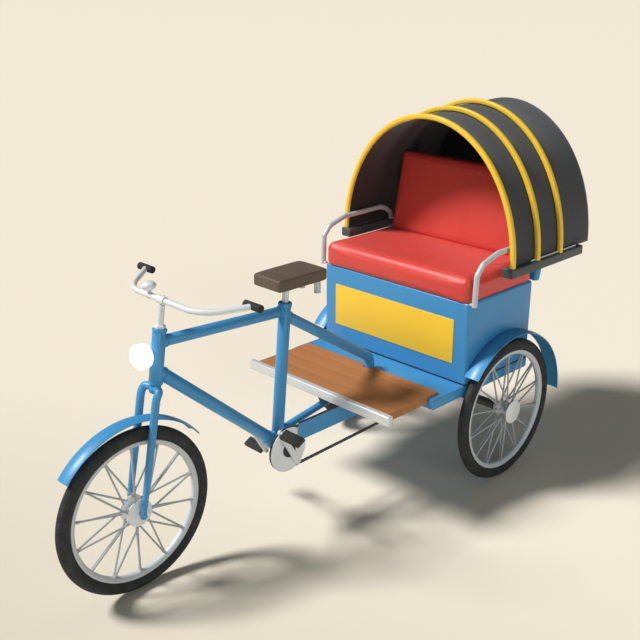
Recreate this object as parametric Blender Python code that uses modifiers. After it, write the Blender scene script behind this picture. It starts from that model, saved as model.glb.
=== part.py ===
# Cycle rickshaw: a pedal-driven three-wheeler with a hooded bench for passengers.
# Metres, +Z up. X runs to the rider's left, Y to the rear; the front is at -Y.
# Every piece is drawn with Y and Z measured from the point on the ground below the rear
# axle, and the parent empty moves the whole vehicle so that its origin is the middle of
# its bounding box at ground level.

import math

import bmesh
import bpy
from mathutils import Matrix, Vector

# Clearances
SEAT_GAP = 0.0003
RUNNING_GAP = 0.0009
CUT_OVERRUN = 0.004
WELD_REACH = 0.003
WELD_DISTANCE = 0.00005

# Sizes that others follow
WHEELBASE = 1.813
WHEEL_RADIUS = 0.355
BOX_HALF_WIDTH = 0.453

# Wheels
TYRE_HALF_WIDTH = 0.0245
TYRE_HALF_HEIGHT = 0.029
TYRE_SEAT_ANGLE = math.radians(150)
TYRE_BOX_GAP = 0.006
REAR_WHEEL_PLANE = BOX_HALF_WIDTH + TYRE_BOX_GAP + TYRE_HALF_WIDTH
RIM_DEPTH = 0.022
RIM_HALF_WIDTH = 0.0165
RIM_INNER_HALF_WIDTH = 0.010
SPOKE_RADIUS = 0.0022
SPOKE_PAIRS = 14
SPOKE_SWEEP = math.radians(24)
SPOKE_FLANGE_SHARE = 0.82
WHEEL_STEPS = 44
HUB_STEPS = 20
HUB_DISC_RADIUS = 0.058
HUB_DISC_THICKNESS = 0.008
HUB_BARREL_RADIUS = 0.024
FRONT_HUB_HALF = 0.031
REAR_FLANGE_RADIUS = 0.038
REAR_FLANGE_PLACE = 0.027
REAR_FLANGE_THICKNESS = 0.007
REAR_HUB_INNER = 0.048
REAR_HUB_OUTER = 0.055
FRONT_AXLE_RADIUS = 0.005
REAR_AXLE_RADIUS = 0.0125

# Cycle frame: points as (Y, Z) on the centre plane
HEAD_SET_BACK = 0.131
HEAD_ABOVE_WHEEL = 0.152
HEAD_HEIGHT = WHEEL_RADIUS * 2 + HEAD_ABOVE_WHEEL
HEAD_LEAN = 0.036
HEAD_RISE = 0.223
HEAD_BOTTOM = (HEAD_SET_BACK - WHEELBASE, HEAD_HEIGHT)
HEAD_TOP = (HEAD_BOTTOM[0] + HEAD_LEAN, HEAD_HEIGHT + HEAD_RISE)
HEAD_RADIUS = 0.0275
STEERER_RADIUS = 0.0135
TOP_TUBE_SHARE = 0.753
TOP_TUBE_RADIUS = 0.021
DOWN_TUBE_SHARE = 0.25
DOWN_TUBE_RADIUS = 0.027
BRACKET_SHARE = 0.5957
BRACKET_HEIGHT = 0.390
BOTTOM_BRACKET = (-WHEELBASE * BRACKET_SHARE, BRACKET_HEIGHT)
BRACKET_RADIUS = 0.031
BRACKET_HALF = 0.036
SPINDLE_RADIUS = 0.009
SEAT_TUBE_LEAN = 0.085
SEAT_TUBE_RISE = 0.640
SEAT_TUBE_TOP = (BOTTOM_BRACKET[0] + SEAT_TUBE_LEAN, BRACKET_HEIGHT + SEAT_TUBE_RISE)
SEAT_TUBE_RADIUS = 0.027
SEAT_FOOT_BACK = 0.026
DOWN_TUBE_LIFT = 0.010
TOP_TUBE_END_SHARE = 0.941
BACK_TUBE_SHARE = 0.911
BACK_TUBE_REAR = (-0.451, 0.617)
BACK_TUBE_RADIUS = 0.024
LOWER_STAY_RISE = 0.037
LOWER_STAY_RADIUS = 0.017
STAY_REAR_RISE = 0.006
TUBE_SIDES = 16

# Fork and front mudguard
CROWN_DROP = 0.018
LEG_RADIUS = 0.0162
LEG_TIP_SHARE = 0.68
LEG_STRAIGHT_SHARE = 0.3
LEG_LEAD = 0.050
LEG_TIP_DROP = 0.015
LEG_SHOULDER_DROP = 0.034
FRONT_GUARD_ABOVE_WHEEL = 0.044
FRONT_GUARD_RADIUS = WHEEL_RADIUS + FRONT_GUARD_ABOVE_WHEEL
FRONT_GUARD_HALF_WIDTH = 0.034
FRONT_GUARD_START = math.radians(38.5)
FRONT_GUARD_END = math.radians(141)
GUARD_THICKNESS = 0.003
GUARD_CROWN = 0.007
GUARD_STEPS = 20
GUARD_COLUMNS = 4

# Handlebar, bell and headlamp
STEM_RADIUS = 0.0140
STEM_RISE = 0.109
BAR_HEIGHT = HEAD_TOP[1] + STEM_RISE
BAR_RADIUS = 0.0120
BAR_CLAMP_RADIUS = 0.0165
BAR_CLAMP_HALF = 0.022
BAR_BEND_X = 0.215
BAR_CORNER_X = 0.262
BAR_CORNER_BACK = 0.045
GRIP_X = 0.336
GRIP_BACK = 0.166
GRIP_RISE = 0.017
GRIP_RADIUS = 0.0155
GRIP_HALF = 0.0475
BELL_X = -0.072
BELL_RADIUS = 0.025
BELL_DOME_HEIGHT = 0.018
BELL_POST_RADIUS = 0.004
BELL_POST_HEIGHT = 0.014
LAMP_REACH = 0.075
LAMP_SHARE = 0.587
LAMP_RADIUS = 0.049
LAMP_HALF_DEPTH = 0.032
LAMP_BEVEL = 0.014
LAMP_STUB_RADIUS = 0.012

# Cranks, pedals and chain
CRANK_LENGTH = 0.130
CRANK_ANGLE = math.radians(120.5)
CRANK_INNER = 0.1155
CRANK_THICKNESS = 0.013
CRANK_EYE_RADIUS = 0.015
CRANK_TIP_RADIUS = 0.012
CRANK_TAIL = 0.072
CRANK_END_STEPS = 6
GUARD_DISC_RADIUS = 0.103
GUARD_DISC_PLACE = 0.101
GUARD_DISC_THICKNESS = 0.004
CHAIN_PLACE = 0.0925
CHAIN_HALF_WIDTH = 0.0045
CHAIN_HALF_HEIGHT = 0.0055
CHAINRING_RADIUS = 0.0965
REAR_SPROCKET_RADIUS = 0.034
SPROCKET_THICKNESS = 0.005
SPINDLE_CAP_RADIUS = 0.033
PEDAL_INNER_CLEARANCE = 0.012
PEDAL_LENGTH = 0.112
PEDAL_HALF_DEPTH = 0.024
PEDAL_HALF_HEIGHT = 0.0115
PEDAL_PIN_RADIUS = 0.006
PEDAL_BEVEL = 0.003
PEDAL_TILT = math.radians(28)
CHAIN_GUARD_PLACE = 0.1093
CHAIN_GUARD_THICKNESS = 0.002
CHAIN_GUARD_LOW = 0.416
CHAIN_GUARD_HIGH = 0.507
CHAIN_GUARD_REAR = -0.408
CHAIN_GUARD_TAB = 0.030
CHAIN_GUARD_LEAD = 0.056
STRAP_CLEARANCE = 0.014

# Saddle
SEAT_POST_RADIUS = 0.0140
SADDLE_HALF_WIDTH = 0.0875
SADDLE_NOSE = 0.108
SADDLE_TAIL = 0.172
SADDLE_LIFT = 0.080
SADDLE_HEIGHT = 0.055
SADDLE_FRONT = SEAT_TUBE_TOP[0] - SADDLE_NOSE
SADDLE_REAR = SEAT_TUBE_TOP[0] + SADDLE_TAIL
SADDLE_BOTTOM = SEAT_TUBE_TOP[1] + SADDLE_LIFT
SADDLE_TOP = SADDLE_BOTTOM + SADDLE_HEIGHT
SADDLE_BEVEL = 0.015
SPRING_X = 0.050
SPRING_SET_IN = 0.027
SPRING_RADIUS = 0.0155
SPRING_LENGTH = 0.060

# Carriage: chassis, footboard, seat box
BOX_FRONT = -0.296
BOX_REAR = 0.211
BOX_TOP = 0.957
BOX_WALL = 0.012
BOX_BEVEL = 0.012
CHASSIS_FRONT = -0.521
CHASSIS_TOP = 0.558
CHASSIS_BOTTOM = 0.508
CHASSIS_SKIN = 0.004
CHASSIS_BEVEL = 0.006
CHASSIS_RIB_HALF = 0.028
BOARD_INSET = 0.032
BOARD_HALF_WIDTH = BOX_HALF_WIDTH - BOARD_INSET
BOARD_REAR = -0.449
BOARD_THICKNESS = 0.012
BOARD_EDGE_HEIGHT = 0.036
BAR_FRONT = -0.822
BAR_HALF_LENGTH = BOX_HALF_WIDTH + SEAT_GAP
BAR_DEPTH = 0.030
BAR_HEIGHT_ABOVE = 0.005
BAR_SIDE = 0.045
BAR_BEVEL = 0.005
BEARER_SHARE = 0.65
BEARER_PLACE = BOARD_HALF_WIDTH * BEARER_SHARE
BEARER_SIDE = 0.024
PANEL_INSET = 0.076
PANEL_HALF_WIDTH = BOX_HALF_WIDTH - PANEL_INSET
PANEL_LOW = 0.650
PANEL_HIGH = 0.865
PANEL_THICKNESS = 0.003
SEAT_BOARD_THICKNESS = 0.012
SEAT_BOARD_LEDGE = 0.020

# Rear axle hangers
HANGER_SHARE = 0.64
HANGER_PLACE = BOX_HALF_WIDTH * HANGER_SHARE
HANGER_HALF_DEPTH = 0.028
HANGER_DROP = 0.030
HANGER_PAD_HALF = 0.026
HANGER_THICKNESS = 0.010
AXLE_TUBE_RADIUS = 0.022
AXLE_TUBE_INNER = 0.130
AXLE_TUBE_INSET = 0.028
AXLE_TUBE_OUTER = BOX_HALF_WIDTH - AXLE_TUBE_INSET

# Rear mudguards
REAR_GUARD_ABOVE_WHEEL = 0.046
REAR_GUARD_RADIUS = WHEEL_RADIUS + REAR_GUARD_ABOVE_WHEEL
REAR_GUARD_WIDTH = 0.080
REAR_GUARD_START = math.radians(0)
REAR_GUARD_END = math.radians(140)

# Cushions and back panel
CUSHION_OVERHANG = 0.002
CUSHION_HALF_WIDTH = BOX_HALF_WIDTH + CUSHION_OVERHANG
CUSHION_FRONT = -0.306
CUSHION_REAR = 0.184
CUSHION_TOP = 1.075
CUSHION_BEVEL = 0.032
BACK_LEAN = math.radians(11.5)
BACK_CUSHION_INSET = 0.068
BACK_CUSHION_HALF_WIDTH = BOX_HALF_WIDTH - BACK_CUSHION_INSET
BACK_CUSHION_FRONT = 0.135
BACK_CUSHION_HEIGHT = 0.402
BACK_CUSHION_BEVEL = 0.022
BACK_PANEL_INSET = 0.007
BACK_PANEL_HALF_WIDTH = BOX_HALF_WIDTH - BACK_PANEL_INSET
BACK_PANEL_LOW = 0.943
BACK_PANEL_HEIGHT = 0.520
BACK_PANEL_THICKNESS = 0.045
BACK_PANEL_BEVEL = 0.012
BACK_PANEL_STANDOFF = 0.031
STANDOFF_SHARE = 0.66
STANDOFF_HALF = 0.020
STANDOFF_EDGE = 0.002
BACK_PANEL_HOOD_GAP = 0.006

# Armrests: points as (Y, Z) in the armrest's plane
ARM_STANDOFF = 0.025
ARM_PLANE = BOX_HALF_WIDTH + ARM_STANDOFF
ARM_RADIUS = 0.0135
ARM_PATH = (
    (-0.288, 0.933),
    (-0.282, 1.092),
    (-0.241, 1.138),
    (-0.135, 1.168),
    (0.140, 1.171),
    (0.189, 1.154),
    (0.226, 1.125),
    (0.226, 1.0924),
)
ARM_LUG_RISE = 0.002
ARM_LUG_HEIGHT = 0.014
ARM_LUG_HALF = 0.012

# Hood
HOOP_ARM_GAP = 0.016
HOOP_RADIUS = 0.0125
HOOP_HALF_WIDTH = ARM_PLANE + ARM_RADIUS + HOOP_ARM_GAP + HOOP_RADIUS
RAIL_SPREAD = 0.018
RAIL_OUTER = HOOP_HALF_WIDTH + RAIL_SPREAD
RAIL_WIDTH = 0.062
RAIL_INNER = RAIL_OUTER - RAIL_WIDTH
RAIL_LOW = 1.047
RAIL_HIGH = 1.092
RAIL_FRONT = -0.094
RAIL_REAR = 0.504
RAIL_BEVEL = 0.006
RAIL_BRACKET_HALF = 0.014
HOOP_STATIONS = (-0.071, 0.123, 0.310)
HOOP_HEIGHT = 0.627
HOOP_HEIGHT_GAIN = 0.018
HOOP_WIDTH_GAIN = 0.003
HOOP_STEPS = 40
HOOD_REAR = 0.590
HOOD_REAR_SIZE_AT = 0.385
HOOD_THICKNESS = 0.005
ROD_RADIUS = 0.004
ROD_FRONT = 0.077
ROD_REAR = 0.461

# Colours
BLUE = (0.065, 0.235, 0.462, 1.0)
YELLOW = (0.896, 0.533, 0.051, 1.0)
RED = (0.665, 0.056, 0.041, 1.0)
BLACK_CLOTH = (0.048, 0.051, 0.058, 1.0)
DARK_RAIL = (0.080, 0.091, 0.095, 1.0)
SILVER = (0.580, 0.590, 0.600, 1.0)
BROWN = (0.153, 0.105, 0.072, 1.0)
WOOD = (0.445, 0.184, 0.070, 1.0)
RUBBER = (0.028, 0.030, 0.032, 1.0)
LAMP_WHITE = (1.0, 1.0, 0.920, 1.0)

MIDDLE_Y = (WHEELBASE + WHEEL_RADIUS - HOOD_REAR) / 2


def clear_scene():
    for old in list(bpy.data.objects):
        bpy.data.objects.remove(old)


def add_collection(name, hidden):
    group = bpy.data.collections.new(name)
    group.hide_render = hidden
    bpy.context.scene.collection.children.link(group)
    return group


clear_scene()
PARTS = add_collection("cycle_rickshaw", False)
CUTTERS = add_collection("cutters", True)


def add_material(name, colour, roughness, metallic):
    made = bpy.data.materials.new(name)
    made.use_nodes = True
    shader = made.node_tree.nodes["Principled BSDF"]
    shader.inputs["Base Color"].default_value = colour
    shader.inputs["Roughness"].default_value = roughness
    shader.inputs["Metallic"].default_value = metallic
    return made


FINISHES = {
    "blue_paint": add_material("blue_paint", BLUE, 0.35, 0.0),
    "yellow_paint": add_material("yellow_paint", YELLOW, 0.35, 0.0),
    "red_vinyl": add_material("red_vinyl", RED, 0.5, 0.0),
    "hood_cloth": add_material("hood_cloth", BLACK_CLOTH, 0.8, 0.0),
    "dark_rail": add_material("dark_rail", DARK_RAIL, 0.45, 0.0),
    "bright_metal": add_material("bright_metal", SILVER, 0.25, 1.0),
    "saddle_brown": add_material("saddle_brown", BROWN, 0.6, 0.0),
    "board_wood": add_material("board_wood", WOOD, 0.6, 0.0),
    "rubber": add_material("rubber", RUBBER, 0.75, 0.0),
    "lamp_glass": add_material("lamp_glass", LAMP_WHITE, 0.2, 0.0),
}


def add_pivot(name, y, z, x=0.0, parent=None):
    """An empty at a point given like the pieces: Y from the rear axle, Z from the ground."""
    pivot = bpy.data.objects.new(name, None)
    PARTS.objects.link(pivot)
    if parent is None:
        pivot.location = (x, y + MIDDLE_Y, z)
    else:
        pivot.parent = parent
        pivot.location = Vector((x, y + MIDDLE_Y, z)) - parent.matrix_world.translation
    bpy.context.view_layer.update()
    return pivot


CARRIAGE = add_pivot("carriage_axis", 0.0, 0.0)


def place(obj, pivot):
    """Parents a piece, drawn from the rear axle's ground point, to its joint's empty."""
    obj.parent = pivot
    shift = Vector((0.0, MIDDLE_Y, 0.0)) - pivot.matrix_world.translation
    obj.matrix_parent_inverse = Matrix.Translation(shift)
    return obj


def add_object(name, data, finish, pivot=None):
    obj = bpy.data.objects.new(name, data)
    PARTS.objects.link(obj)
    obj.data.materials.append(FINISHES[finish])
    return place(obj, pivot or CARRIAGE)


def mesh_from(bm, name):
    bmesh.ops.recalc_face_normals(bm, faces=bm.faces)
    mesh = bpy.data.meshes.new(name)
    bm.to_mesh(mesh)
    bm.free()
    mesh.shade_smooth()
    mesh.set_sharp_from_angle(angle=math.radians(35))
    return mesh


def block(name, low, high, finish, bevel=0.0, segments=2, pivot=None):
    """A box between two corners, with its edges rounded by a Bevel."""
    size = Vector(high) - Vector(low)
    middle = (Vector(high) + Vector(low)) / 2
    bm = bmesh.new()
    bmesh.ops.create_cube(bm, size=1.0, matrix=Matrix.Translation(middle) @ Matrix.Diagonal((*size, 1.0)))
    obj = add_object(name, mesh_from(bm, name), finish, pivot)
    if bevel:
        round_edges(obj, bevel, segments)
    return obj


def round_edges(obj, width, segments):
    bevel = obj.modifiers.new("rounded edges", "BEVEL")
    bevel.width = width
    bevel.segments = segments
    bevel.limit_method = "ANGLE"
    bevel.angle_limit = math.radians(40)


def rod(name, start, end, radius, finish, end_radius=None, sides=TUBE_SIDES, pivot=None):
    """A straight round bar between two points."""
    start, end = Vector(start), Vector(end)
    along = end - start
    turn = along.to_track_quat("Z", "Y").to_matrix().to_4x4()
    bm = bmesh.new()
    bmesh.ops.create_cone(
        bm,
        cap_ends=True,
        segments=sides,
        radius1=radius,
        radius2=radius if end_radius is None else end_radius,
        depth=along.length,
        matrix=Matrix.Translation((start + end) / 2) @ turn,
    )
    return add_object(name, mesh_from(bm, name), finish, pivot)


def bent_tube(name, points, radius, finish, tapers=None, pivot=None):
    """A bent bar as a curve with a round bevel, made a mesh so that it can be cut or joined."""
    curve = bpy.data.curves.new(name, "CURVE")
    curve.dimensions = "3D"
    curve.bevel_depth = radius
    curve.bevel_resolution = 2
    curve.use_fill_caps = True
    line = curve.splines.new("POLY")
    line.points.add(len(points) - 1)
    for place_in_line, point in enumerate(points):
        line.points[place_in_line].co = (*point, 1.0)
        if tapers:
            line.points[place_in_line].radius = tapers[place_in_line]
    guide = bpy.data.objects.new(name + "_guide", curve)
    PARTS.objects.link(guide)
    graph = bpy.context.evaluated_depsgraph_get()
    mesh = bpy.data.meshes.new_from_object(guide.evaluated_get(graph))
    bm = bmesh.new()
    bm.from_mesh(mesh)
    bmesh.ops.remove_doubles(bm, verts=bm.verts, dist=WELD_DISTANCE)
    made = add_object(name, mesh_from(bm, name), finish, pivot)
    bpy.data.objects.remove(guide)
    return made


def smooth_path(corners, radius, steps=5):
    """The corners of a path, each replaced by an arc of that radius, or what its sides allow."""
    corners = [Vector(corner) for corner in corners]
    path = [corners[0]]
    for before, corner, after in zip(corners, corners[1:], corners[2:]):
        to_before = before - corner
        to_after = after - corner
        half = to_before.angle(to_after) / 2
        reach = min(radius / math.tan(half), to_before.length / 2, to_after.length / 2)
        first = corner + to_before.normalized() * reach
        last = corner + to_after.normalized() * reach
        for step in range(steps + 1):
            part = step / steps
            path.append(first * (1 - part) ** 2 + corner * 2 * part * (1 - part) + last * part**2)
    path.append(corners[-1])
    return path


def turned(name, profile, steps, finish, pivot=None, centre=(0.0, 0.0, 0.0), closed=False):
    """A shape turned about X: the profile is (radius, X) pairs that run down its outer side."""
    bm = bmesh.new()
    corners = [bm.verts.new((radius, 0.0, along)) for radius, along in profile]
    for first, second in zip(corners, corners[1:]):
        bm.edges.new((first, second))
    if closed:
        bm.edges.new((corners[-1], corners[0]))
    mesh = bpy.data.meshes.new(name)
    bm.to_mesh(mesh)
    bm.free()
    obj = add_object(name, mesh, finish, pivot)
    obj.location = centre
    obj.rotation_euler = (0.0, math.radians(90), 0.0)
    screw = obj.modifiers.new("turn", "SCREW")
    screw.axis = "Z"
    screw.angle = math.radians(360)
    screw.steps = steps
    screw.render_steps = steps
    screw.use_merge_vertices = True
    screw.merge_threshold = WELD_DISTANCE
    screw.use_smooth_shade = True
    return obj


def combine(target, others, operation):
    """Joins or cuts a piece with others, which become hidden helpers."""
    for other in others:
        PARTS.objects.unlink(other)
        CUTTERS.objects.link(other)
        other.hide_render = True
        other.display_type = "WIRE"
        change = target.modifiers.new(operation.lower(), "BOOLEAN")
        change.operation = operation
        change.object = other
    return target


def from_plane(point, x=0.0):
    """A point of the side view as a point in space."""
    return (x, point[0], point[1])


def along_line(start, end, share):
    return tuple(a + (b - a) * share for a, b in zip(start, end))


def on_head(share):
    """A point of the head tube's axis, from its lower end up."""
    return along_line(HEAD_BOTTOM, HEAD_TOP, share)


def on_steering_axis(z):
    """The steering axis leans back: its Y at a height."""
    lean = (HEAD_TOP[0] - HEAD_BOTTOM[0]) / (HEAD_TOP[1] - HEAD_BOTTOM[1])
    return (HEAD_BOTTOM[0] + (z - HEAD_BOTTOM[1]) * lean, z)


def hoop_size(y):
    """Half-width and height of the hoops' centre line, which grow towards the rear."""
    share = (y - HOOP_STATIONS[0]) / (HOOP_STATIONS[1] - HOOP_STATIONS[0])
    return HOOP_HALF_WIDTH + HOOP_WIDTH_GAIN * share, HOOP_HEIGHT + HOOP_HEIGHT_GAIN * share


HEAD_DIRECTION = (Vector(from_plane(HEAD_TOP)) - Vector(from_plane(HEAD_BOTTOM))).normalized()
FRONT_HUB = (-WHEELBASE, WHEEL_RADIUS)
STEERING = add_pivot("steering_axis", *HEAD_BOTTOM, parent=CARRIAGE)
FRONT_WHEEL = add_pivot("front_wheel_axis", *FRONT_HUB, parent=STEERING)
CRANK = add_pivot("crank_axis", *BOTTOM_BRACKET, parent=CARRIAGE)
DRIVE = add_pivot("rear_drive_axis", 0.0, WHEEL_RADIUS, x=REAR_WHEEL_PLANE, parent=CARRIAGE)
REAR_RIGHT = add_pivot("rear_right_axis", 0.0, WHEEL_RADIUS, x=-REAR_WHEEL_PLANE, parent=CARRIAGE)


# Wheels

TYRE_MIDDLE = WHEEL_RADIUS - TYRE_HALF_HEIGHT
TYRE_SEAT = TYRE_MIDDLE + TYRE_HALF_HEIGHT * math.cos(TYRE_SEAT_ANGLE)
RIM_OUTER = TYRE_SEAT - SEAT_GAP
RIM_INNER = RIM_OUTER - RIM_DEPTH
TYRE_POINTS = 10


def tyre(name, centre, pivot):
    """Section: an ellipse cut flat where it sits on the rim."""
    profile = []
    for step in range(TYRE_POINTS + 1):
        angle = TYRE_SEAT_ANGLE * (1 - 2 * step / TYRE_POINTS)
        profile.append((TYRE_MIDDLE + TYRE_HALF_HEIGHT * math.cos(angle), TYRE_HALF_WIDTH * math.sin(angle)))
    return turned(name, profile, WHEEL_STEPS, "rubber", pivot, centre, closed=True)


def rim(name, centre, pivot):
    profile = [
        (RIM_OUTER, RIM_HALF_WIDTH),
        (RIM_OUTER, -RIM_HALF_WIDTH),
        (RIM_INNER, -RIM_INNER_HALF_WIDTH),
        (RIM_INNER, RIM_INNER_HALF_WIDTH),
    ]
    return turned(name, profile, WHEEL_STEPS, "bright_metal", pivot, centre, closed=True)


def spokes(name, centre, flanges, pivot):
    """Each pair meets at the rim and runs to the two flanges, every other pair swept the other way."""
    bm = bmesh.new()
    rim_reach = RIM_INNER + WELD_REACH
    for pair in range(SPOKE_PAIRS):
        angle = math.tau * (pair + 1 / 2) / SPOKE_PAIRS
        sweep = SPOKE_SWEEP if pair % 2 else -SPOKE_SWEEP
        for side, (flange_x, flange_radius) in zip((1, -1), flanges):
            hub_reach = flange_radius * SPOKE_FLANGE_SHARE
            hub_angle = angle + sweep * side
            rim_x = side * RIM_INNER_HALF_WIDTH / 3
            start = Vector((flange_x, hub_reach * math.cos(hub_angle), hub_reach * math.sin(hub_angle)))
            end = Vector((rim_x, rim_reach * math.cos(angle), rim_reach * math.sin(angle)))
            turn = (end - start).to_track_quat("Z", "Y").to_matrix().to_4x4()
            bmesh.ops.create_cone(
                bm,
                cap_ends=True,
                segments=4,
                radius1=SPOKE_RADIUS,
                radius2=SPOKE_RADIUS,
                depth=(end - start).length,
                matrix=Matrix.Translation((start + end) / 2 + Vector(centre)) @ turn,
            )
    return add_object(name, mesh_from(bm, name), "bright_metal", pivot)


def front_hub(name, centre, pivot):
    bore = FRONT_AXLE_RADIUS + RUNNING_GAP
    disc_inner = FRONT_HUB_HALF - HUB_DISC_THICKNESS
    profile = [
        (bore, FRONT_HUB_HALF),
        (HUB_DISC_RADIUS, FRONT_HUB_HALF),
        (HUB_DISC_RADIUS, disc_inner),
        (HUB_BARREL_RADIUS, disc_inner),
        (HUB_BARREL_RADIUS, -disc_inner),
        (HUB_DISC_RADIUS, -disc_inner),
        (HUB_DISC_RADIUS, -FRONT_HUB_HALF),
        (bore, -FRONT_HUB_HALF),
    ]
    return turned(name, profile, HUB_STEPS, "bright_metal", pivot, centre, closed=True)


def rear_hub(name, centre, side, bore, pivot):
    """The outer end is closed by the hub cap, and the bore is open to the inside."""
    cap_inner = REAR_HUB_OUTER - HUB_DISC_THICKNESS
    flange_out = REAR_FLANGE_PLACE
    flange_in = REAR_FLANGE_PLACE - REAR_FLANGE_THICKNESS
    outer_side = [
        (0.0, REAR_HUB_OUTER),
        (HUB_DISC_RADIUS, REAR_HUB_OUTER),
        (HUB_DISC_RADIUS, cap_inner),
        (HUB_BARREL_RADIUS, cap_inner),
        (HUB_BARREL_RADIUS, flange_out),
        (REAR_FLANGE_RADIUS, flange_out),
        (REAR_FLANGE_RADIUS, flange_in),
        (HUB_BARREL_RADIUS, flange_in),
        (HUB_BARREL_RADIUS, -flange_in),
        (REAR_FLANGE_RADIUS, -flange_in),
        (REAR_FLANGE_RADIUS, -flange_out),
        (HUB_BARREL_RADIUS, -flange_out),
        (HUB_BARREL_RADIUS, -REAR_HUB_INNER),
        (bore, -REAR_HUB_INNER),
        (bore, cap_inner - SEAT_GAP),
        (0.0, cap_inner - SEAT_GAP),
    ]
    profile = [(radius, side * along) for radius, along in outer_side]
    if side < 0:
        profile.reverse()
    return turned(name, profile, HUB_STEPS, "bright_metal", pivot, centre)


def front_wheel():
    centre = from_plane(FRONT_HUB)
    disc_middle = FRONT_HUB_HALF - HUB_DISC_THICKNESS / 2
    flanges = ((disc_middle, HUB_DISC_RADIUS), (-disc_middle, HUB_DISC_RADIUS))
    tyre("front_tyre", centre, FRONT_WHEEL)
    wheel = rim("front_wheel", centre, FRONT_WHEEL)
    extras = [
        front_hub("front_hub", centre, FRONT_WHEEL),
        spokes("front_spokes", centre, flanges, FRONT_WHEEL),
    ]
    combine(wheel, extras, "UNION")
    reach = leg_plane() - LEG_RADIUS * LEG_TIP_SHARE - SEAT_GAP
    start, end = from_plane(FRONT_HUB, -reach), from_plane(FRONT_HUB, reach)
    rod("front_axle", start, end, FRONT_AXLE_RADIUS, "bright_metal", pivot=STEERING)


def rear_wheel(tag, side, bore, pivot):
    centre = (side * REAR_WHEEL_PLANE, 0.0, WHEEL_RADIUS)
    middle = REAR_FLANGE_PLACE - REAR_FLANGE_THICKNESS / 2
    flanges = ((middle, REAR_FLANGE_RADIUS), (-middle, REAR_FLANGE_RADIUS))
    tyre("rear_tyre_" + tag, centre, pivot)
    wheel = rim("rear_wheel_" + tag, centre, pivot)
    extras = [
        rear_hub("rear_hub_" + tag, centre, side, bore, pivot),
        spokes("rear_spokes_" + tag, centre, flanges, pivot),
    ]
    combine(wheel, extras, "UNION")


def rear_axle():
    reach = REAR_WHEEL_PLANE + REAR_HUB_OUTER - HUB_DISC_THICKNESS - 2 * SEAT_GAP
    start, end = (-reach, 0.0, WHEEL_RADIUS), (reach, 0.0, WHEEL_RADIUS)
    axle = rod("rear_axle", start, end, REAR_AXLE_RADIUS, "bright_metal", pivot=DRIVE)
    half = SPROCKET_THICKNESS / 2
    sprocket = rod(
        "rear_sprocket",
        (CHAIN_PLACE - half, 0.0, WHEEL_RADIUS),
        (CHAIN_PLACE + half, 0.0, WHEEL_RADIUS),
        REAR_SPROCKET_RADIUS - CHAIN_HALF_HEIGHT - RUNNING_GAP,
        "bright_metal",
        sides=WHEEL_STEPS // 2,
        pivot=DRIVE,
    )
    combine(axle, [sprocket], "UNION")


# Cycle frame


def seat_tube_foot():
    """The seat tube stands a little behind the middle of the bracket shell."""
    return Vector((0.0, BOTTOM_BRACKET[0] + SEAT_FOOT_BACK, BRACKET_HEIGHT + BRACKET_RADIUS / 4))


def main_frame():
    """The tubes end inside the bracket shell, each a little short of its middle."""
    frame = rod("main_frame", from_plane(HEAD_BOTTOM), from_plane(HEAD_TOP), HEAD_RADIUS, "blue_paint")
    middle = Vector(from_plane(BOTTOM_BRACKET))
    to_head = (Vector(from_plane(on_head(DOWN_TUBE_SHARE))) - middle).normalized()
    down_end = middle + to_head * BRACKET_RADIUS / 3 + Vector((0.0, 0.0, DOWN_TUBE_LIFT))
    seat_foot = seat_tube_foot()
    top_start = from_plane(on_head(TOP_TUBE_SHARE))
    top_end = from_plane(along_line(BOTTOM_BRACKET, SEAT_TUBE_TOP, TOP_TUBE_END_SHARE))
    tubes = [
        rod(
            "bracket_shell",
            from_plane(BOTTOM_BRACKET, -BRACKET_HALF),
            from_plane(BOTTOM_BRACKET, BRACKET_HALF),
            BRACKET_RADIUS,
            "blue_paint",
        ),
        rod("seat_tube", seat_foot, from_plane(SEAT_TUBE_TOP), SEAT_TUBE_RADIUS, "blue_paint"),
        rod("top_tube", top_start, top_end, TOP_TUBE_RADIUS, "blue_paint"),
        lower_stay(),
        rod("down_tube", from_plane(on_head(DOWN_TUBE_SHARE)), down_end, DOWN_TUBE_RADIUS, "blue_paint"),
        back_tube(),
    ]
    combine(frame, tubes, "UNION")
    overrun = HEAD_DIRECTION * CUT_OVERRUN
    bores = [
        rod(
            "head_bore",
            Vector(from_plane(HEAD_BOTTOM)) - overrun,
            Vector(from_plane(HEAD_TOP)) + overrun,
            STEERER_RADIUS + RUNNING_GAP,
            "blue_paint",
        ),
        rod(
            "bracket_bore",
            from_plane(BOTTOM_BRACKET, -BRACKET_HALF - CUT_OVERRUN),
            from_plane(BOTTOM_BRACKET, BRACKET_HALF + CUT_OVERRUN),
            SPINDLE_RADIUS + RUNNING_GAP,
            "blue_paint",
        ),
    ]
    combine(frame, bores, "DIFFERENCE")


def back_tube():
    """From the saddle cluster down to the chassis, where it bends to stand on the floor."""
    front = from_plane(along_line(BOTTOM_BRACKET, SEAT_TUBE_TOP, BACK_TUBE_SHARE))
    knee = from_plane(BACK_TUBE_REAR)
    foot = (0.0, BACK_TUBE_REAR[0], CHASSIS_TOP + SEAT_GAP)
    path = smooth_path([front, knee, foot], BACK_TUBE_RADIUS * 2)
    return bent_tube("back_tube", path, BACK_TUBE_RADIUS, "blue_paint")


def stay_height(y):
    """The lower stay's centre line, from the seat tube up to the chassis."""
    start_z = BOTTOM_BRACKET[1] + LOWER_STAY_RISE
    end_z = CHASSIS_BOTTOM + STAY_REAR_RISE
    share = (y - BOTTOM_BRACKET[0]) / (CHASSIS_FRONT - BOTTOM_BRACKET[0])
    return start_z + (end_z - start_z) * share


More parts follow.
